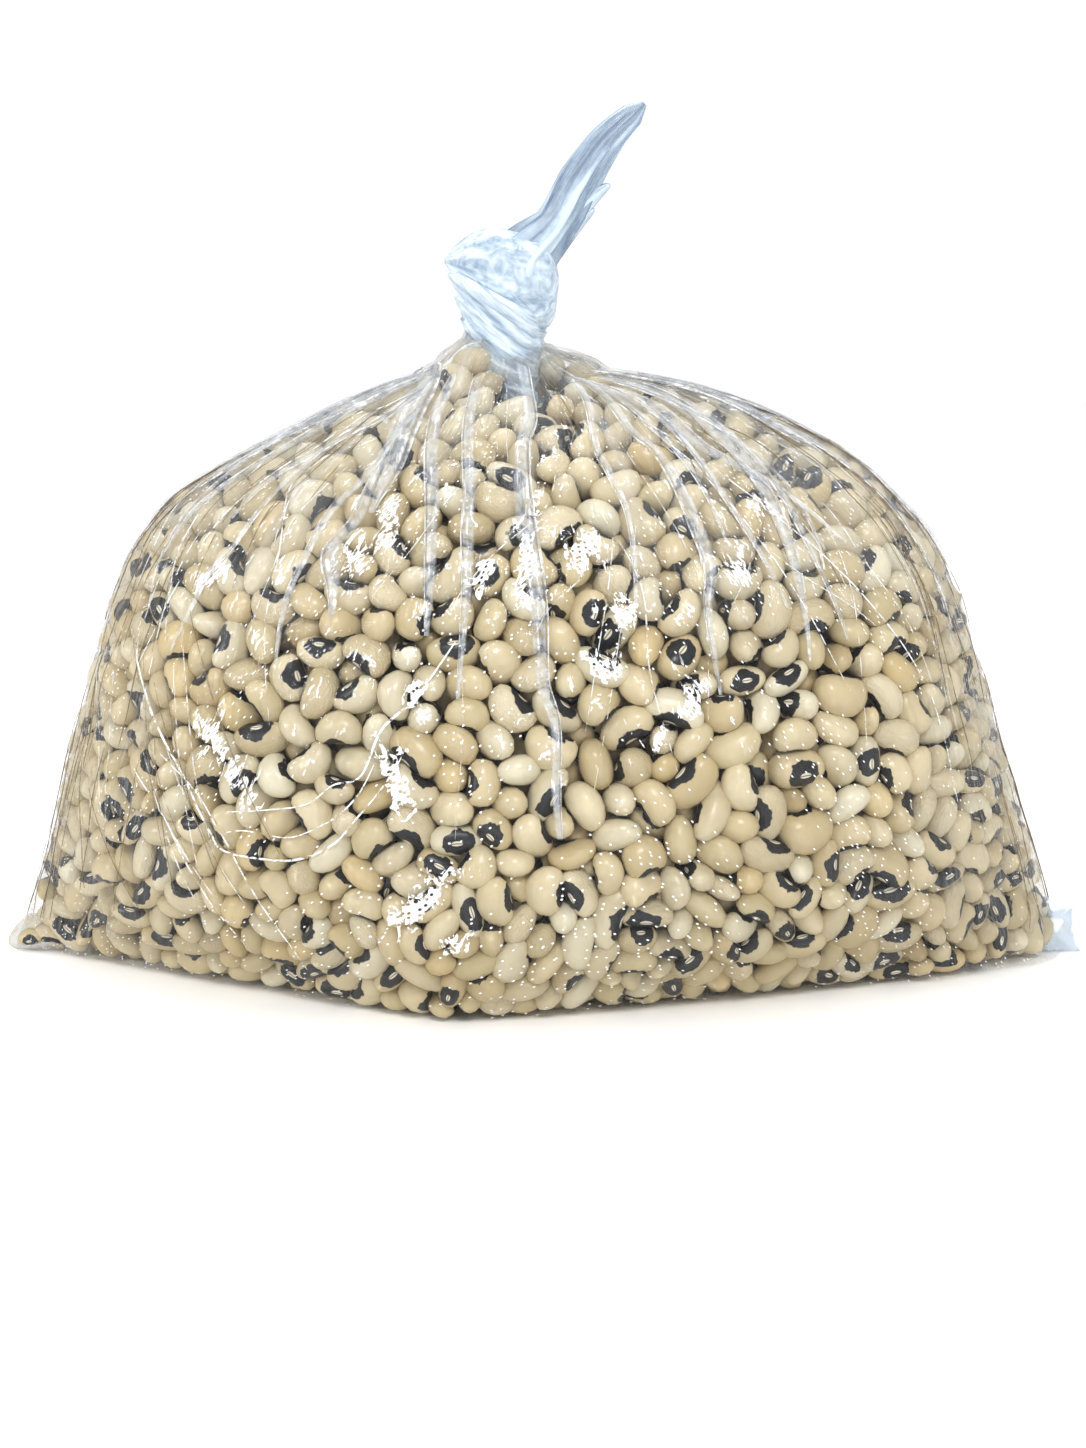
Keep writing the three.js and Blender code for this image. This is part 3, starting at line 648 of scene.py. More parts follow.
haze = np.maximum(fold_haze, neck_haze) + shoulder_haze
shine = 0.12 + 0.88 * smooth(0.5, 7, grid_z)
# Streaks on the film, at the sides, over the crown and over the shoulders: pale ones, partly painted sheen,
# and brownish ones of painted shade.
side_streaks_and_shade = smooth(58, 88, np.abs(grid_x)) * (0.35 + 0.65 * smooth(8, 50, grid_z))
crown_streaks_and_shade = smooth(86, 104, grid_z)
shoulder_streaks_and_shade = 0.6 * smooth(60, 88, grid_z) * smooth(14, 36, from_middle)
worn = np.maximum(np.maximum(side_streaks_and_shade, 0.8 * crown_streaks_and_shade), shoulder_streaks_and_shade)

# Painted highlights: white patches where the film, lying crumpled flat on the beans, would glint. Each
# gives its turn in degrees, rise from the base's edge to the neck, and how long, how wide and how far
# turned each patch is.
GLINTS = [
    *((230.5, 0.287, 12, 5, 40), (236.5, 0.238, 6, 3, 60), (254.2, 0.262, 3, 11, -18)),
    *((256.5, 0.352, 2, 9, -22), (257.5, 0.128, 15, 4, -38), (262.0, 0.09, 7, 3, -25)),
    *((278.2, 0.392, 5, 6, 0), (288.9, 0.352, 4, 6, 10), (283.6, 0.305, 4, 3, -30)),
    *((276.0, 0.56, 7, 6, 20), (269.0, 0.55, 2, 14, 0), (262.5, 0.52, 4, 8, 10)),
    *((281.0, 0.47, 6, 5, 0), (248.0, 0.61, 3, 10, 10), (245.0, 0.545, 4, 6, 0)),
    *((298.0, 0.53, 4, 5, 30), (306.0, 0.62, 5, 4, 30), (222.0, 0.5, 4, 6, 40)),
]
REST_OF_GLINTS = 30  # more of them, at random, round the sides and back
GLINT_REACH = 30
for _ in range(REST_OF_GLINTS):
    place = (rng.uniform(14, 168), rng.uniform(0.08, 0.72))
    GLINTS.append((*place, rng.uniform(3, 12), rng.uniform(2, 6), rng.uniform(-60, 60)))
glint = np.zeros(grid.shape[:2])
side_climb = climb - climb[BASE_ROWS]
for turn, rise, length, width, slant in GLINTS:
    row = int(BASE_ROWS + rise * (FILM_ROWS - 1))
    off = (turns - math.radians(turn) + np.pi) % (2 * np.pi) - np.pi
    column = int(np.argmin(np.abs(off)))
    away = np.linalg.norm(grid - grid[row, column], axis=-1)
    y_way = side_climb - side_climb[row, column]
    x_way = np.where(off[None] > 0, 1, -1) * np.sqrt(np.maximum(away**2 - y_way**2, 0))
    lean = math.radians(slant)
    along = (x_way * math.cos(lean) - y_way * math.sin(lean)) / length
    over = (x_way * math.sin(lean) + y_way * math.cos(lean)) / width
    glint = np.maximum(glint, np.where(away < GLINT_REACH, np.exp(-(along**2) - over**2), 0))
# Across the front, weaker painted glints may show anywhere.
crumpled = smooth(78, 40, np.abs(grid_x + 8)) * smooth(22, 55, grid_z) * (grid_y < 0)
glint = np.maximum(glint, 0.4 * crumpled)
vertex_values(film_mesh, film_at=with_ends(film_at), flat_at=with_ends(flat_at))
vertex_values(film_mesh, contact=with_ends(contact, (0, 0)), haze=with_ends(haze, (0, 1)))
vertex_values(film_mesh, shine=with_ends(shine, (0, 1)), worn=with_ends(worn, (0, 0)))
vertex_values(film_mesh, glint=with_ends(glint, (0, 0)))


def finish_film(add, under, cover, milk):
    """Lays milky film over what is under it, as far as the cover says, and makes that the surface"""
    add("OutputMaterial", (add("MixShader", (cover, under, add("BsdfPrincipled", milk))),))


def film_material(name):
    """Blown polyethylene: clear and glossy when single, milky where folds lie on each other, with painted
    glints and streaks of painted sheen and shade
    """
    material, add = new_material(name)
    at = add("Attribute", output="Vector", attribute_name="film_at")
    flat_at = add("Attribute", output="Vector", attribute_name="flat_at")
    names = ("shine", "haze", "worn", "glint", "contact")
    shine, haze, worn, glint, contact = (add("Attribute", (), "Fac", attribute_name=key) for key in names)
    drawn = add("VectorMath", (at, (1.0, 1.0, 0.07)), operation="MULTIPLY")
    streaks = add("TexNoise", {"Vector": drawn, "Scale": 0.75, "Detail": 3.0})
    ripples = add("TexNoise", {"Vector": at, "Scale": 0.25, "Detail": 4.0})
    relief = add("Math", (streaks, ripples), operation="ADD")
    bumped = add("Bump", {"Height": relief, "Strength": 0.5, "Distance": 0.0011})

    # Single film is clear, with a mirror that is weaker than its real one, as the lights are small.
    mirror = add("Fresnel", {"IOR": 1.36, "Normal": bumped})
    shine = add("Math", (shine, 0.6), operation="MULTIPLY")
    mirror = add("Math", (mirror, shine), operation="MULTIPLY")
    clear = add("BsdfTransparent", {"Color": (0.985, 0.985, 0.985, 1)})
    gloss = add("BsdfGlossy", {"Color": (1, 1, 1, 1), "Roughness": 0.06, "Normal": bumped})
    single = add("MixShader", (mirror, clear, gloss))

    # Streaked film has fine lines down it, 1 mm apart, which is as close as they show. The pale lines are
    # partly milky film and partly painted sheen, and the brownish ones are painted shade.
    fine_streaks = add("TexNoise", {"Vector": drawn, "Scale": 1.9})
    worn = add("Math", (worn, add("MapRange", (fine_streaks, 0.52, 0.62))), operation="MULTIPLY")
    haze = add("Math", (haze, add("MapRange", (streaks, 0.3, 0.72, 0.35, 1.0))), operation="MULTIPLY")

    # Painted highlights: white patches with small round holes for the glints of crumpled film, and small
    # white dots.
    hanging = add("VectorMath", (at, (1.0, 1.0, 0.55)), operation="MULTIPLY")
    crumple = {"Vector": hanging, "Scale": 0.42, "Detail": 5.0, "Roughness": 0.62, "Distortion": 1.6}
    score = add("Math", (glint, 0.62), operation="MULTIPLY")
    score = add("Math", (add("TexNoise", crumple), 1.7, score), operation="MULTIPLY_ADD")
    score = add("Math", (contact, 0.2, score), operation="MULTIPLY_ADD")
    bubbles = add("TexVoronoi", {"Vector": flat_at, "Scale": 0.95}, voronoi_dimensions="2D")
    holes = add("MapRange", (bubbles, 0.2, 0.28))
    glinting = add("Math", (add("MapRange", (score, 1.41, 1.47)), holes), operation="MULTIPLY")
    specks = add("TexVoronoi", {"Vector": flat_at, "Scale": 0.75}, voronoi_dimensions="2D")
    rare = add("SeparateColor", (specks.node.outputs["Color"],))
    broad = add("TexNoise", {"Vector": at, "Scale": 0.045, "Detail": 1.0})
    chosen = (rare, add("MapRange", (broad, 0.42, 0.58, 0.985, 0.6)))
    chosen = add("Math", chosen, operation="GREATER_THAN")
    dots = add("Math", (add("MapRange", (specks, 0.1, 0.17, 1.0, 0.0)), chosen), operation="MULTIPLY")

    cover = add("Math", (haze, 0.5), operation="MULTIPLY")
    for share, amount in ((worn, 0.32), (glinting, 0.82), (dots, 0.8)):
        share = add("Math", (share, amount), operation="MULTIPLY")
        cover = add("Math", (cover, share), operation="MAXIMUM")
    # Brownish lines in the streaks are painted shade, and the white of the glints and dots is painted
    # highlight.
    shade = add("MapRange", (add("TexNoise", {"Vector": drawn, "Scale": 1.1}), 0.32, 0.44))
    shade = add("Math", (worn, shade), operation="MULTIPLY")
    colour = add("Mix", {0: shade, 6: "e6ebf0", 7: "857763"}, 2, data_type="RGBA")
    bright = add("Math", (glinting, dots), operation="MAXIMUM")
    colour = add("Mix", {0: bright, 6: colour, 7: "ffffff"}, 2, data_type="RGBA")
    finish_film(add, single, cover, {"Base Color": colour, "Roughness": 0.25, "Normal": bumped})
    return material


add_film_piece("clear_film", film_mesh, film_material("clear_polyethylene_film"))

# The folds
# Pleats of spare film, pressed flat by the pull of the knot. They lie double or triple on the bag,
# so they look milky, with bright rolled edges that are painted highlights, and run taut over the beans from
# the neck down.
FOLD_STEP = 0.9
FOLD_ACROSS = 7
CREASE_ACROSS = 3
closed_turns = np.concatenate([turns, [turns[0] + 2 * np.pi]])


def on_film(turn, rise):
    """Places and outward directions on the finished film, between the points of its grid"""
    turn = (turn - turns[0]) % (2 * np.pi) + turns[0]
    column = np.interp(turn, closed_turns, np.arange(FILM_COLUMNS + 1))
    row = BASE_ROWS - 1 + np.clip(rise, 0, 1) * (FILM_ROWS - 1)
    c0 = column.astype(int) % FILM_COLUMNS
    r0 = np.clip(row.astype(int), 0, len(film) - 2)
    u = (column - column.astype(int))[..., None]
    v = (row - r0)[..., None]
    c1 = (c0 + 1) % FILM_COLUMNS

    def between(values):
        lower = values[r0, c0] * (1 - u) + values[r0, c1] * u
        upper = values[r0 + 1, c0] * (1 - u) + values[r0 + 1, c1] * u
        return lower * (1 - v) + upper * v

    return between(film), unit(between(normals)), between(grid)


def curve_point(points, share):
    """A point of the smooth curve through the given points, at a share of the way along"""
    spans = len(points) - 1
    at = np.clip(share, 0, 1) * spans
    first = np.minimum(at.astype(int), spans - 1)
    t = (at - first)[..., None]
    padded = np.concatenate([[2 * points[0] - points[1]], points, [2 * points[-1] - points[-2]]])
    a, b, c, d = (padded[first + n] for n in range(4))
    square, cube = 2 * a - 5 * b + 4 * c - d, 3 * b - a - 3 * c + d
    return 0.5 * (2 * b + (c - a) * t + square * t**2 + cube * t**3)


def averaged(values, window):
    """A running mean along the first axis, with the ends held"""
    pad = window // 2
    padded = np.concatenate([np.repeat(values[:1], pad, 0), values, np.repeat(values[-1:], pad, 0)])
    total = np.cumsum(np.concatenate([np.zeros_like(padded[:1]), padded]), axis=0)
    return (total[2 * pad + 1 :] - total[: -2 * pad - 1]) / (2 * pad + 1)


def highest(values, reach):
    """The highest of each value and its neighbours on the first axis"""
    count = len(values)
    near = [values[np.clip(np.arange(count) + step, 0, count - 1)] for step in range(-reach, reach + 1)]
    return np.max(near, axis=0)


def strip(path, widths, lift, thickness, across_count, taut, bright=1.0):
    """One flat closed strip of film along a path of turns in degrees and rises, over the beans"""
    path = np.array([(math.radians(turn), rise) for turn, rise in path])
    _, _, bare = on_film(*curve_point(path, np.linspace(0, 1, 60)).T)
    length = np.sum(np.linalg.norm(np.diff(bare, axis=0), axis=1))
    count = max(8, int(length / FOLD_STEP))
    share = np.linspace(0, 1, count)
    turn, rise = curve_point(path, share).T
    _, out, bare = on_film(turn, rise)
    side = unit(np.cross(unit(np.gradient(bare, axis=0)), out))
    step = 0.002
    turn_way = (on_film(turn + step, rise)[2] - bare) / step
    rise_way = (on_film(turn, np.clip(rise + step, 0, 1))[2] - bare) / step
    half = np.interp(share, np.linspace(0, 1, len(widths)), widths)[:, None] / 2
    across = np.linspace(-1, 1, across_count)
    offset = half * across[None]
    turn_step = np.sum(side * turn_way, axis=1) / np.sum(turn_way**2, axis=1)
    rise_step = np.sum(side * rise_way, axis=1) / np.maximum(np.sum(rise_way**2, axis=1), 1e-6)
    turn = turn[:, None] + offset * turn_step[:, None]
    places, _, flat = on_film(turn, rise[:, None] + offset * rise_step[:, None])
    way = unit(averaged(np.repeat(out[:, None], across_count, 1), taut))
    over = np.sum((places - flat) * way, axis=-1, keepdims=True)
    over = averaged(highest(over, taut), 2 * taut + 1)
    over = np.maximum(over, over.mean(axis=1, keepdims=True))
    lower = flat + way * (over + lift)
    crown = np.sqrt(np.maximum(1 - across**2, 0))[None, :, None]
    ends = np.minimum(1, np.minimum(share, 1 - share) * 12)[:, None, None]
    upper = lower + way * (0.06 + thickness * (0.35 + 0.65 * crown) * ends)
    ring = np.concatenate([upper, lower[:, ::-1]], axis=1)
    sideways = np.concatenate([offset, offset[:, ::-1]], axis=1)
    run = np.repeat((share * length)[:, None], ring.shape[1], 1)
    rim = np.repeat(np.concatenate([across, across[::-1]])[None], count, 0)
    return ring, sideways, run, rim, bright


def add_folds(name, strips, material):
    """Joins closed strips into one piece, each with its own place in the film's pattern"""
    points, faces, places, rims, brights = [], [], [], [], []
    first = 0
    for number, (ring, sideways, run, rim, bright) in enumerate(strips):
        strip_points, strip_faces = closed_grid(ring)
        points.append(strip_points)
        faces.extend([v + first for v in face] for face in strip_faces)
        first += len(strip_points)
        places.append(with_ends(np.stack([sideways + 37.0 * number, 0 * run, run], -1)))
        rims.append(with_ends(rim * (1 if number % 3 else -1), (0, 0)))
        brights.append(np.full(len(strip_points), bright))
    mesh = new_mesh(name, np.concatenate(points), faces)
    vertex_values(mesh, film_at=np.concatenate(places), rim=np.concatenate(rims))
    vertex_values(mesh, bright=np.concatenate(brights))
    add_film_piece(name, mesh, material)


# Each fold: its turns and rises from the neck down, its widths along the way, and its thickness
FRONT_FOLDS = [
    (
        [(224.7, 0.935), (233.4, 0.854), (239.7, 0.776), (244.1, 0.697), (245.1, 0.618)],
        *([3, 5, 5, 4, 1], 0.5),
    ),
    (
        [(240.5, 0.9), (249.3, 0.747), (254.3, 0.64), (256.4, 0.527), (256.9, 0.44)],
        *([2, 2.4, 2.6, 2.2, 0.8], 0.4),
    ),
    (
        [(250.8, 0.9), (258.8, 0.697), (260.7, 0.582), (261.4, 0.494), (261.1, 0.36)],
        *([2, 2.4, 2.4, 1.8, 0.6], 0.4),
    ),
    (
        [(267.5, 0.93), (269.1, 0.809), (267.7, 0.737), (268.4, 0.632), (269.8, 0.53)]
        + [(270.5, 0.465), (270.9, 0.382), (272.3, 0.329), (272.3, 0.253), (272.5, 0.2)],
        *([2.5, 2.6, 2.8, 3.4, 3.6, 3.2, 2.4, 2, 1.8, 1], 0.5),
    ),
    (
        [(286.2, 0.92), (281.4, 0.759), (282.1, 0.687), (283.3, 0.628), (283.3, 0.566), (282.6, 0.47)],
        *([1.5, 1.4, 1.4, 1.2, 1, 0.5], 0.4),
    ),
    (
        [(292.8, 0.93), (289.7, 0.79), (292.2, 0.733), (293, 0.666)]
        + [(293.3, 0.597), (293.5, 0.525), (292.2, 0.468), (292.5, 0.36)],
        *([2, 2, 2.2, 2.6, 3, 2.4, 1.6, 0.6], 0.4),
    ),
    (
        [(285.7, 0.95), (294.9, 0.905), (300.3, 0.859), (300.9, 0.759)]
        + [(305.8, 0.697), (311.2, 0.649), (317.8, 0.56)],
        *([3, 5, 6, 4.5, 3, 2, 0.8], 0.5),
    ),
    (
        [(314.9, 0.96), (325.8, 0.902), (336.7, 0.854), (336.7, 0.78), (341.4, 0.69)],
        *([4, 6, 6, 4, 1.5], 0.5),
    ),
    ([(298.6, 0.8), (300, 0.647), (302, 0.549), (303.4, 0.47)], [1.2, 1.4, 1.2, 0.5], 0.3),
    ([(232.8, 0.9), (231.6, 0.795), (226, 0.733), (221.2, 0.68), (220, 0.6)], [2, 2.4, 2, 1.6, 0.6], 0.4),
    (
        [(237.1, 0.85), (240.5, 0.697), (238.6, 0.623), (237.7, 0.544), (236.9, 0.48), (237.4, 0.4)],
        *([2, 2, 2.2, 1.6, 1.4, 0.6], 0.4),
    ),
    (
        [(240.8, 0.73), (243.5, 0.616), (241.4, 0.556), (243.5, 0.504), (244.3, 0.46)],
        *([1.2, 2.6, 3.2, 2.6, 0.8], 0.5),
    ),
    (
        [(224.7, 0.8), (224.7, 0.589), (221.8, 0.516), (220.5, 0.463), (218.5, 0.4)],
        *([1, 1.2, 1.4, 1, 0.4], 0.3),
    ),
]
pleats = [strip(path, widths, 0.1, thickness, FOLD_ACROSS, 6) for path, widths, thickness in FRONT_FOLDS]
OTHER_FOLDS = 40
FOLD_TOP = 0.94
for k in range(OTHER_FOLDS):
    middle_turn = -65 + 280 * (k + rng.uniform(0.1, 0.9)) / OTHER_FOLDS
    drop = FOLD_TOP - rng.uniform(0.34, 0.72)
    drift = rng.normal(0, 5)
    path = [(middle_turn + drift * t, FOLD_TOP - drop * t) for t in (0, 0.35, 0.7, 1)]
    path[1] = (path[1][0] + rng.normal(0, 1.5), path[1][1])
    widest = rng.uniform(1.2, 4.5)
    widths = [widest * 0.8, widest, widest * 0.6, 0.5]
    pleats.append(strip(path, widths, 0.1, rng.uniform(0.25, 0.5), FOLD_ACROSS, 6))

# Creases: sharp lines where the film has been folded once and sprung back, their white painted highlight
CREASES = [
    (
        [(209.5, 0.41), (211.1, 0.384), (215.5, 0.337), (222.2, 0.284), (227.6, 0.241), (231.9, 0.193)]
        + [(233.9, 0.172), (238.6, 0.167), (243.8, 0.169), (248.0, 0.189), (250.6, 0.22)]
        + [(252.6, 0.246), (254.3, 0.274), (255.5, 0.3)],
        [0.2, 0.5, 0.4, 0.45, 0.55, 0.35, 0.2],
    ),
    (
        [(233.9, 0.215), (239.7, 0.222), (244.6, 0.232), (247.5, 0.255)]
        + [(250.6, 0.267), (252.6, 0.322), (256.4, 0.363), (260.4, 0.432)],
        [0.2, 0.3, 0.35, 0.5, 0.6, 0.3],
    ),
    (
        [(234.2, 0.191), (237.1, 0.196), (242.7, 0.193), (246.7, 0.21)]
        + [(249, 0.227), (250.8, 0.251), (252.3, 0.289)],
        [0.3, 0.3, 0.3, 0.4, 0.2],
    ),
    (
        [(219.9, 0.279), (228.8, 0.236), (233.9, 0.189), (238, 0.138), (242.7, 0.079), (245.4, 0.041)],
        [0.2, 0.32, 0.3, 0.3, 0.15],
    ),
    ([(216.5, 0.25), (224, 0.2), (229, 0.15), (234, 0.1), (238, 0.06)], [0.15, 0.28, 0.25, 0.15]),
    (
        [(293.8, 0.82), (305.8, 0.632), (316.2, 0.487), (325.2, 0.344), (326.9, 0.205)],
        [0.25, 0.4, 0.35, 0.25, 0.15],
    ),
    ([(292, 0.857), (298.4, 0.69), (304.9, 0.506), (310.3, 0.356)], [0.25, 0.35, 0.3, 0.15]),
    (
        [(232.2, 0.871), (220.2, 0.771), (218.5, 0.644), (216.2, 0.511), (211.8, 0.379)],
        [0.25, 0.35, 0.35, 0.3, 0.15],
    ),
]
creases = [strip(path, [0.8 * w for w in widths], 0.12, 0.16, CREASE_ACROSS, 2) for path, widths in CREASES]
FINE_CREASES = 90
for k in range(FINE_CREASES):
    begin = rng.uniform(0, 360)
    top, drop, drift = rng.uniform(0.55, 0.93), rng.uniform(0.12, 0.4), rng.normal(0, 6)
    path = [(begin + drift * t, top - drop * t) for t in (0, 0.33, 0.66, 1)]
    path[1] = (path[1][0] + rng.normal(0, 1), path[1][1])
    width = rng.uniform(0.16, 0.34)
    widths = [0.1, width, width * 0.8, 0.1]
    creases.append(strip(path, widths, 0.1, 0.12, CREASE_ACROSS, 3, rng.uniform(0.25, 0.7)))

# At the sides the film turns away, and its many fine creases show there as brownish lines of painted shade.
# Over the shoulders more of them run down from the neck and show against the light. Each row gives how
# many, their spread round the side, and the ranges of their tops, drops, drifts, widths and tones.
SIDE_CREASES = [
    (130, 17, (0.2, 0.9), (0.12, 0.4), 2.5, (0.2, 0.45), (0.35, 0.75)),
    (60, 32, (0.72, 0.95), (0.1, 0.28), 3, (0.16, 0.32), (0.3, 0.7)),
]
LOWEST_CREASE = 0.04
side_creases = []
for count, spread, tops, drops, drifts, middle_widths, tones in SIDE_CREASES:
    for k in range(count):
        begin = 180 * (k % 2) + rng.normal(0, spread)
        top, drop, drift = rng.uniform(*tops), rng.uniform(*drops), rng.normal(0, drifts)
        path = [(begin + drift * t, max(top - drop * t, LOWEST_CREASE)) for t in (0, 0.5, 1)]
        widths = [0.1, rng.uniform(*middle_widths), 0.1]
        side_creases.append(strip(path, widths, 0.1, 0.1, CREASE_ACROSS, 3, rng.uniform(*tones)))

# The film is twisted a little at its left front, so its creases there slant down to the middle.
SLANTED_CREASES = 16
for k in range(SLANTED_CREASES):
    begin, top, run = rng.uniform(196, 222), rng.uniform(0.2, 0.46), rng.uniform(8, 22)
    path = [(begin + run * t, top * (1 - 0.62 * t)) for t in (0, 0.4, 0.7, 1)]
    widths = [0.1, rng.uniform(0.15, 0.3), 0.2, 0.1]
    strips = side_creases if k % 2 else creases
    strips.append(strip(path, widths, 0.1, 0.12, CREASE_ACROSS, 3, rng.uniform(0.2, 0.5)))


def folded_material(name, middle, rim, pale, deep):
    """Film lying on film: half clear and milky, with painted highlights on its streaks and rolled edges,
    and painted shade in a grey line next to each edge
    """
    material, add = new_material(name)
    at = add("Attribute", output="Vector", attribute_name="film_at")
    rim_at = add("Attribute", output="Fac", attribute_name="rim")
    drawn = add("VectorMath", (at, (1.0, 1.0, 0.12)), operation="MULTIPLY")
    streaks = add("TexNoise", {"Vector": drawn, "Scale": 1.3, "Detail": 4.0, "Roughness": 0.6})
    lines = add("MapRange", (streaks, 0.56, 0.66))
    bumped = add("Bump", {"Height": streaks, "Strength": 0.5, "Distance": 0.0008})
    flecks = add("TexNoise", {"Vector": at, "Scale": 0.6, "Detail": 4.0, "Roughness": 0.65})
    broken = add("TexNoise", {"Vector": at, "Scale": 0.3, "Detail": 3.0})
    broken = add("MapRange", (broken, 0.42, 0.56, 0.12, 1.0))
    edge = add("Math", (add("MapRange", (rim_at, 0.8, 0.97)), broken), operation="MULTIPLY")
    edge_shade = (add("MapRange", (rim_at, 0.5, 0.7)), add("MapRange", (rim_at, 0.72, 0.86, 1.0, 0.0)))
    edge_shade = add("Math", edge_shade, operation="MULTIPLY")
    cover = middle
    for part, amount in ((edge, rim - middle), (edge_shade, 0.16), (lines, 0.3)):
        cover = add("Math", (part, amount, cover), operation="MULTIPLY_ADD")
    for part in ((rim_at, -1.0, -0.5), (flecks, 0.4, 0.6, 0.3, 1.15)):
        cover = add("Math", (cover, add("MapRange", part)), operation="MULTIPLY")
    colour = deep
    # The white of the edges and streak lines is painted highlight, and the grey next to the edges is
    # painted shade.
    bright = add("Math", (edge, lines), operation="MAXIMUM")
    pale_share = add("MapRange", (streaks, 0.35, 0.65))
    for share, tint in ((pale_share, pale), (edge_shade, "7d786e"), (bright, "ffffff")):
        colour = add("Mix", {0: share, 6: colour, 7: tint}, 2, data_type="RGBA")
    milk = {"Base Color": colour, "Roughness": 0.2, "IOR": 1.5, "Normal": bumped}
    finish_film(add, add("BsdfTransparent"), cover, milk)
    return material


def crease_material(name, colours, cover, roughness, broken):
    """A sharp fold line in clear film, broken where the film springs flat again; its colours paint the
    line's highlight when white and its shade when brown
    """
    material, add = new_material(name)
    at = add("Attribute", output="Vector", attribute_name="film_at")
    bright = add("Attribute", output="Fac", attribute_name="bright")
    breaks = add("TexNoise", {"Vector": at, "Scale": 0.45, "Detail": 4.0, "Roughness": 0.65})
    breaks = add("MapRange", (breaks, broken, broken + 0.11))
    shown = add("Math", (bright, cover), operation="MULTIPLY")
    shown = add("Math", (breaks, shown), operation="MULTIPLY")
    tones = add("TexNoise", {"Vector": at, "Scale": 0.2})
    colour = add("Mix", {0: tones, 6: colours[0], 7: colours[1]}, 2, data_type="RGBA")
    finish_film(add, add("BsdfTransparent"), shown, {"Base Color": colour, "Roughness": roughness})
    return material


pressed_film = folded_material("pressed_polyethylene_folds", 0.24, 0.75, "fbfdff", "b9c4d0")
# White creases are painted highlights, and brown ones are painted shade.
crease_highlight = crease_material("sharp_polyethylene_crease", ("ffffff", "e8eef4"), 0.9, 0.2, 0.45)
shaded_crease = crease_material("shaded_polyethylene_crease", ("6b5c46", "8c7b60"), 1.0, 0.9, 0.37)
add_folds("pressed_folds", pleats, pressed_film)
add_folds("film_creases", creases, crease_highlight)
add_folds("side_creases", side_creases, shaded_crease)

# The knot
# The bag's gathered neck, wound round itself and pulled tight. So many layers of film lie on each
# other that it turns milky and bluish, with pale folds and a rough wound surface. The blue-grey between the
# folds and at its outline is painted shade.
SHEATH_TOP = 122.3
SHEATH_TILT = 4.3
SHEATH_RADIUS = ([0, 0.1, 0.25, 0.4, 0.62, 0.84, 0.96, 1], [2.4, 4.0, 5.4, 6.1, 7, 8, 9, 8.2])
TUCK_X = [-17.7, -16.6, -15.6, -14, -12, -10.5, -8.5, -6, -4, -1, 1, 2.2, 2.8]
TUCK_TOP = [128.4, 129.8, 130.8, 132, 133, 133.6, 134.2, 133.9, 133.7, 133, 131.4, 129, 125.6]
TUCK_FOOT = [127.9, 126.2, 125.0, 123.6, 122, 120.6, 119, 117.4, 116.5, 116, 116.6, 118.6, 123.6]
TUCK_DEPTH = [0.3, 1.5, 2.5, 3.7, 4.7, 5.4, 6.0, 6.2, 6.0, 5.4, 4.2, 2.4, 0.4]
TAIL_LINE = np.array(
    [(-7, 0.4, 112), (-6, 0.3, 120), (-3.6, 0.2, 128), (2.2, -0.5, 134.6)]
    + [(6.3, -1.2, 142), (11.4, -0.8, 149.2), (18, 0.2, 155.6)]
)
TAIL_HALF_WIDTH = (
    [0, 0.17, 0.3, 0.38, 0.5, 0.67, 0.83, 0.95, 1],
    [5, 6.6, 6.4, 4.8, 3.4, 3.5, 2.8, 2, 0.5],
)
TAIL_HALF_DEPTH = ([0, 0.33, 0.5, 0.67, 0.83, 1], [5, 5.6, 3.2, 1.9, 1.3, 0.4])
TORN_POINTS = [  # root, tip and half width
    ((4.4, -1.4, 134.8), (12, -1.8, 141.6), 1.7),
    ((1.8, -1.0, 130.6), (9.2, -1.4, 137.4), 1.9),
]


def angles(rows, columns):
    """Shares from end to end and angles round a gathered piece"""
    turn = np.linspace(0, 2 * np.pi, columns, endpoint=False)
    return np.meshgrid(np.linspace(0, 1, rows), turn, indexing="ij")


def add_gathered(name, grid, run, material, around=6.0):
    """Makes a gathered piece; run is how far along its folds each point is"""
    mesh = new_mesh(name, *closed_grid(grid))
    _, turn = angles(*grid.shape[:2])
    at = np.stack([around * np.cos(turn), around * np.sin(turn), run], -1)
    vertex_values(mesh, film_at=with_ends(at))
    add_film_piece(name, mesh, material)


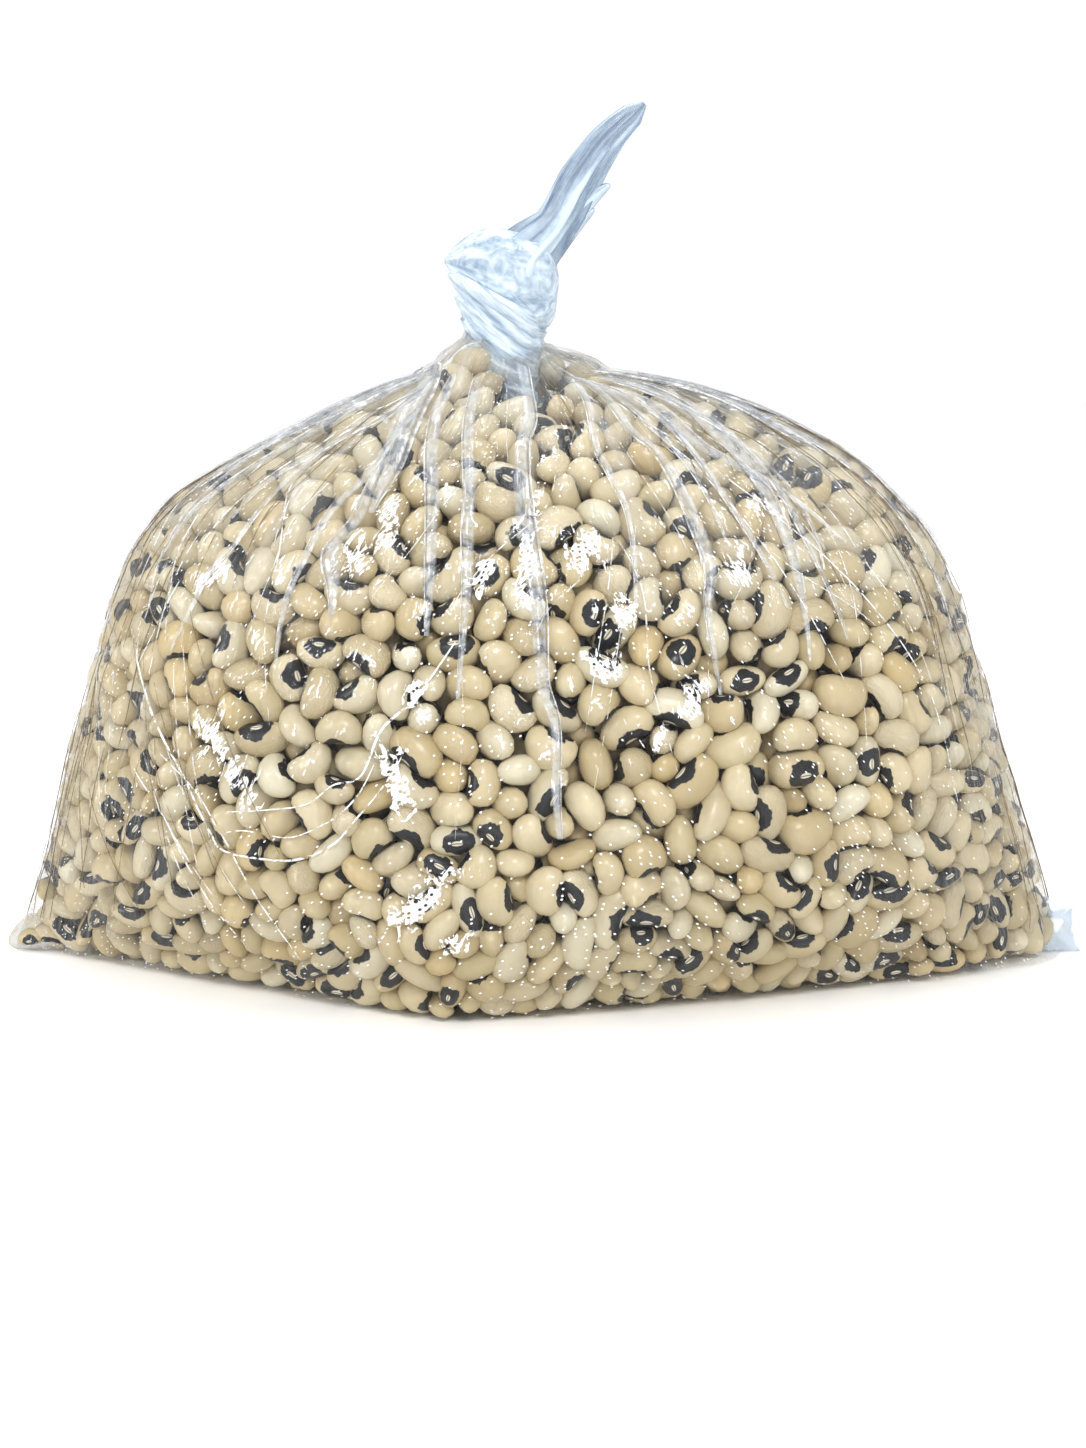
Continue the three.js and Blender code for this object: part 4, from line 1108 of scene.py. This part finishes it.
def gathered_material(name, solid, streak_way, scale, deep, pale, crumple, outline, relief):
    """Many layers of film gathered together: milky and faintly blue, with pale pressed folds, and painted
    shade in blue-grey between them and along the outline
    """
    material, add = new_material(name)
    at = add("Attribute", output="Vector", attribute_name="film_at")
    drawn = add("VectorMath", (at, streak_way), operation="MULTIPLY")
    streaks = {"Vector": drawn, "Scale": scale, "Detail": 4.0, "Roughness": 0.6, "Distortion": 0.4}
    streaks = add("Math", (add("TexNoise", streaks), 0.6), operation="MULTIPLY")
    broad = add("TexNoise", {"Vector": drawn, "Scale": scale * 0.35})
    broad = add("Math", (broad, 0.4), operation="MULTIPLY")
    mixed = add("Math", (streaks, broad), operation="ADD")
    crushed = {"Vector": at, "Scale": 0.62, "Detail": 3.0, "Roughness": 0.55, "Distortion": 1.1}
    mixed = add("Mix", {0: crumple, 2: mixed, 3: add("TexNoise", crushed)})
    bumped = add("Bump", {"Height": mixed, "Strength": 0.7, "Distance": relief})
    # The deep colour between the folds is painted shade, and so is the dark blue-grey where the surface
    # turns away at the outline.
    colour = {0: add("MapRange", (mixed, 0.4, 0.58)), 6: deep, 7: pale}
    colour = add("Mix", colour, 2, data_type="RGBA")
    turned = add("MapRange", (add("LayerWeight", {"Blend": 0.3}, "Facing"), 0.6, 0.9))
    turned = add("Math", (turned, outline), operation="MULTIPLY")
    colour = add("Mix", {0: turned, 6: colour, 7: "4d5868"}, 2, data_type="RGBA")
    rim = add("LayerWeight", {"Blend": 0.35, "Normal": bumped}, "Facing")
    rim = add("Math", (rim, 0.25), operation="MULTIPLY")
    cover = add("MapRange", (mixed, 0.4, 0.6, solid - 0.15, solid + 0.1))
    cover = add("Math", (cover, rim), operation="ADD")
    clear = add("BsdfTransparent", {"Color": (0.93, 0.95, 0.97, 1)})
    milk = {"Base Color": colour, "Roughness": 0.24, "IOR": 1.5, "Normal": bumped}
    finish_film(add, clear, cover, milk)
    return material


# Deep blue-grey for the painted shade in the folds, and the film's pale milky blue.
knot_shade_and_milk = ("90a6bc", "dae7f2")
wound_film = gathered_material(
    "wound_polyethylene_film", 0.95, (0.18, 0.18, 1.0), 0.8, *knot_shade_and_milk, 0.0, 0.45, 0.0011
)
tuck_film = gathered_material(
    "tucked_polyethylene_film", 0.9, (0.8, 0.8, 0.2), 0.55, *knot_shade_and_milk, 0.32, 0.45, 0.0011
)
tail_film = gathered_material(
    "gathered_polyethylene_tail", 0.74, (1.0, 1.0, 0.1), 0.5, "5d738e", "cddeec", 0.05, 0.8, 0.0003
)

# The sheath is wound up round the neck in a strip that laps over itself, and leans to the left.
share, turn = angles(90, 160)
foot_share = smooth(0.3, 0, share)
lap = (share * 6.5 + 0.42 * np.cos(turn + 0.5) + 0.12 * np.sin(3 * turn)) % 1
creased = np.sin(9 * turn + 7 * share) * np.sin(4 * turn - 15 * share + 1)
creased = creased + 0.6 * np.sin(17 * turn + 22 * share)
radius = np.interp(share, *SHEATH_RADIUS) + 0.5 * (lap**2 - 0.4) + 0.16 * creased
sheath = [
    NECK_X - 1.6 * share + (SHEATH_FOOT_X - NECK_X) * foot_share + radius * np.cos(turn),
    SHEATH_FOOT_Y * foot_share + 0.88 * radius * np.sin(turn),
    SHEATH_FOOT + (SHEATH_TOP - SHEATH_FOOT) * share - SHEATH_TILT * np.cos(turn) * share,
]
add_gathered("knot_sheath", np.stack(sheath, -1), 18 * share + 2.4 * np.cos(turn + 0.5), wound_film)

# The tuck is the loop of the knot, a ruffled bulge that points left over the sheath.
share, turn = angles(70, 120)
x = TUCK_X[0] + (TUCK_X[-1] - TUCK_X[0]) * (0.5 - 0.5 * np.cos(np.pi * share))
top, foot = np.interp(x, TUCK_X, TUCK_TOP), np.interp(x, TUCK_X, TUCK_FOOT)
ruffle = 0.32 * np.sin(5 * turn + 9 * share) + 0.22 * np.sin(9 * turn - 13 * share)
ruffle = ruffle + 0.2 * np.sin(3 * turn + 21 * share)
ruffle = ruffle * smooth(0.0, 0.25, share) * smooth(1.0, 0.85, share)
tuck = [
    x,
    (np.interp(x, TUCK_X, TUCK_DEPTH) + ruffle) * np.sin(turn) - 0.4,
    (top + foot) / 2 + ((top - foot) / 2 + ruffle) * np.sign(np.cos(turn)) * np.abs(np.cos(turn)) ** 0.8,
]
add_gathered("knot_tuck", np.stack(tuck, -1)[::-1], -18 * share[::-1], tuck_film)

# The tail is the bag's pleated mouth, drawn up through the knot, with two torn points at its side.
share, turn = angles(150, 120)
middle = curve_point(TAIL_LINE, share)
along = unit(np.gradient(middle, axis=0))
across = unit(np.stack([along[..., 2], 0 * share, -along[..., 0]], -1))
pleated = 1 + 0.13 * np.cos(6 * turn + 3 * share) + 0.08 * np.cos(13 * turn - 5 * share)
tail = middle + across * (np.interp(share, *TAIL_HALF_WIDTH) * pleated * np.cos(turn))[..., None]
tail[..., 1] += np.interp(share, *TAIL_HALF_DEPTH) * pleated * np.sin(turn)
add_gathered("knot_tail", tail, 52 * share, tail_film, 3.2)

share, turn = angles(24, 24)
bow = np.array([0, 0, 1]) * (0.8 * np.sin(np.pi * share))[..., None]
for number, (root, tip, half) in enumerate(TORN_POINTS, 1):
    root, tip = np.array(root), np.array(tip)
    along = unit(tip - root)
    across = np.array([along[2], 0, -along[0]])
    middle = root + (tip - root) * share[..., None] + bow
    wide = half * (1 - share**2.6) ** 0.6 * (1 - 0.35 * share) * (1 + 0.2 * np.cos(4 * turn)) + 0.1
    point = middle + across * (wide * np.cos(turn))[..., None]
    point[..., 1] += 0.35 * wide * np.sin(turn)
    add_gathered(f"torn_point_{number}", point, 9 * share, tail_film, 1.6)

# The corner ears
# The two ends of the seal along the bag's bottom stick out empty at its corners, as flat flaps of
# double film, stiff and clear, with a few white creases.
RIGHT_EAR_EDGE = (
    [0, 0.2, 1.4, 4, 8.6, 9.8, 10, 12.5],
    [102.3, 102.2, 101.2, 100.6, 100.2, 99.4, 96.5, 90],
)
LEFT_EAR_EDGE = ([0, 1.2, 2.6, 4.6, 7, 8], [100, 101.7, 101.5, 100.2, 97.8, 90])
EAR_ROOT_X = 91


def add_corner_ear(name, edge, side, top, thickness, depth, material):
    """A thin closed flap from the film's corner out to its edge, gently waved"""
    rise = np.linspace(0.05, top, 26)
    reach = np.linspace(0, 1, 30)
    outer = np.interp(rise, *edge)
    x = EAR_ROOT_X + (outer[:, None] - EAR_ROOT_X) * reach[None]
    z = rise[:, None] + 0 * x
    waved = np.sin(x * 1.1 + z * 0.8) * np.sin(z * 0.9 + 1)
    wave = 0.35 * waved * smooth(EAR_ROOT_X, EAR_ROOT_X + 6, x)
    thick = thickness / 2 * (1 - 0.8 * reach[None] ** 4)
    front = np.stack([side * x, depth + wave - thick, z], -1)
    back = np.stack([side * x, depth + wave + thick, z], -1)
    ring = np.concatenate([front, back[:, ::-1]], axis=1)[:, ::side]
    mesh = new_mesh(name, *closed_grid(ring))
    at = np.stack([ring[..., 2], 0 * ring[..., 2], np.abs(ring[..., 0])], -1)
    rim = np.tile(np.concatenate([reach, reach[::-1]])[None], (len(rise), 1)) ** 3
    vertex_values(mesh, film_at=with_ends(at), rim=with_ends(rim, (1, 1)))
    add_film_piece(name, mesh, material)


def seal_material(name, cover, pale, deep):
    """Two layers of film welded flat: clear and faintly tinted, with broad soft creases"""
    material, add = new_material(name)
    at = add("Attribute", output="Vector", attribute_name="film_at")
    creases = add("TexNoise", {"Vector": at, "Scale": 0.22, "Distortion": 0.8})
    bumped = add("Bump", {"Height": creases, "Strength": 0.5, "Distance": 0.0015})
    edge = add("MapRange", (add("Attribute", output="Fac", attribute_name="rim"), 0.86, 0.97))
    fold = add("Math", (add("MapRange", (creases, 0.52, 0.6)), edge), operation="MAXIMUM")
    colour = add("Mix", {0: fold, 6: deep, 7: pale}, 2, data_type="RGBA")
    clear = add("BsdfTransparent", {"Color": (0.95, 0.97, 0.98, 1)})
    share = add("MapRange", (fold, 0.0, 1.0, cover, cover + 0.3))
    finish_film(add, clear, share, {"Base Color": colour, "Roughness": 0.25, "Normal": bumped})
    return material


right_seal = seal_material("welded_polyethylene_corner", 0.42, "eef4fa", "aebfd0")
left_seal = seal_material("welded_polyethylene_corner_left", 0.25, "cbbd9e", "8f7d5c")
add_corner_ear("right_ear", RIGHT_EAR_EDGE, 1, 12.4, 0.7, -1, right_seal)
add_corner_ear("left_ear", LEFT_EAR_EDGE, -1, 7.9, 1.2, 0, left_seal)

# The floor, the lights and the camera
# A plain white sweep, a soft white surround, small bright lights that glint on the film, and a
# camera at the photograph's angle, just above the bag's middle.
FLOOR_SIZE = 6.0
FLOOR_DROP = 0.0002  # keeps the floor from cutting into the base
WORLD_STRENGTH = 1.02
SOFT_LIGHTS = [  # place, size and power
    ("key_light", (0.12, -0.7, 0.7), 0.22, 3.9),
    ("left_light", (-0.85, -0.5, 0.35), 0.16, 2.2),
    ("top_light", (-0.1, 0.1, 1.0), 0.25, 1.9),
]
CAMERA_DISTANCE = 410.0
CAMERA_ELEVATION = math.radians(9.5)
CAMERA_TARGET_HEIGHT = 50.0
AIM_BELOW = math.radians(0.88)
SENSOR_HEIGHT = 36.0
PIXELS_PER_MM = 5.37
IMAGE_HEIGHT = 1448
floor_material, add = new_material("pale_paper_sweep")
grain = add("TexNoise", {"Vector": add("TexCoord", output="Object"), "Scale": 300.0, "Detail": 3.0})
paper = add("Mix", {0: grain, 6: "fcfcfc", 7: "ffffff"}, 2, data_type="RGBA")
add("OutputMaterial", (add("BsdfPrincipled", {"Base Color": paper, "Roughness": 0.9}),))
half = FLOOR_SIZE / 2 / MM
floor_points = [(-half, -half, 0), (half, -half, 0), (half, half, 0), (-half, half, 0)]
floor = new_object("floor", new_mesh("floor", floor_points, [(0, 1, 2, 3)]), floor_material)
floor.location.z = -FLOOR_DROP

world = bpy.data.worlds.new("studio")
bpy.context.scene.world = world
world.use_nodes = True
world.node_tree.nodes["Background"].inputs[0].default_value = (1, 1, 1, 1)
world.node_tree.nodes["Background"].inputs[1].default_value = WORLD_STRENGTH
for name, place, size, power in SOFT_LIGHTS:
    light = bpy.data.lights.new(name, "AREA")
    light.shape = "SQUARE"
    light.size = size
    light.energy = power
    made = new_object(name, light)
    made.location = place
    made.rotation_euler = (Vector((0, 0, 0.05)) - made.location).to_track_quat("-Z", "Y").to_euler()
bpy.context.scene.view_settings.view_transform = "Standard"

camera_data = bpy.data.cameras.new("camera")
camera_data.sensor_fit = "VERTICAL"
camera_data.sensor_height = SENSOR_HEIGHT
camera_data.lens = PIXELS_PER_MM * CAMERA_DISTANCE * SENSOR_HEIGHT / IMAGE_HEIGHT
camera_data.clip_start = 0.01
camera = new_object("camera", camera_data)
camera.location = (
    0,
    -CAMERA_DISTANCE * math.cos(CAMERA_ELEVATION) * MM,
    (CAMERA_TARGET_HEIGHT + CAMERA_DISTANCE * math.sin(CAMERA_ELEVATION)) * MM,
)
camera.rotation_euler = (math.pi / 2 - CAMERA_ELEVATION - AIM_BELOW, 0, 0)
bpy.context.scene.camera = camera
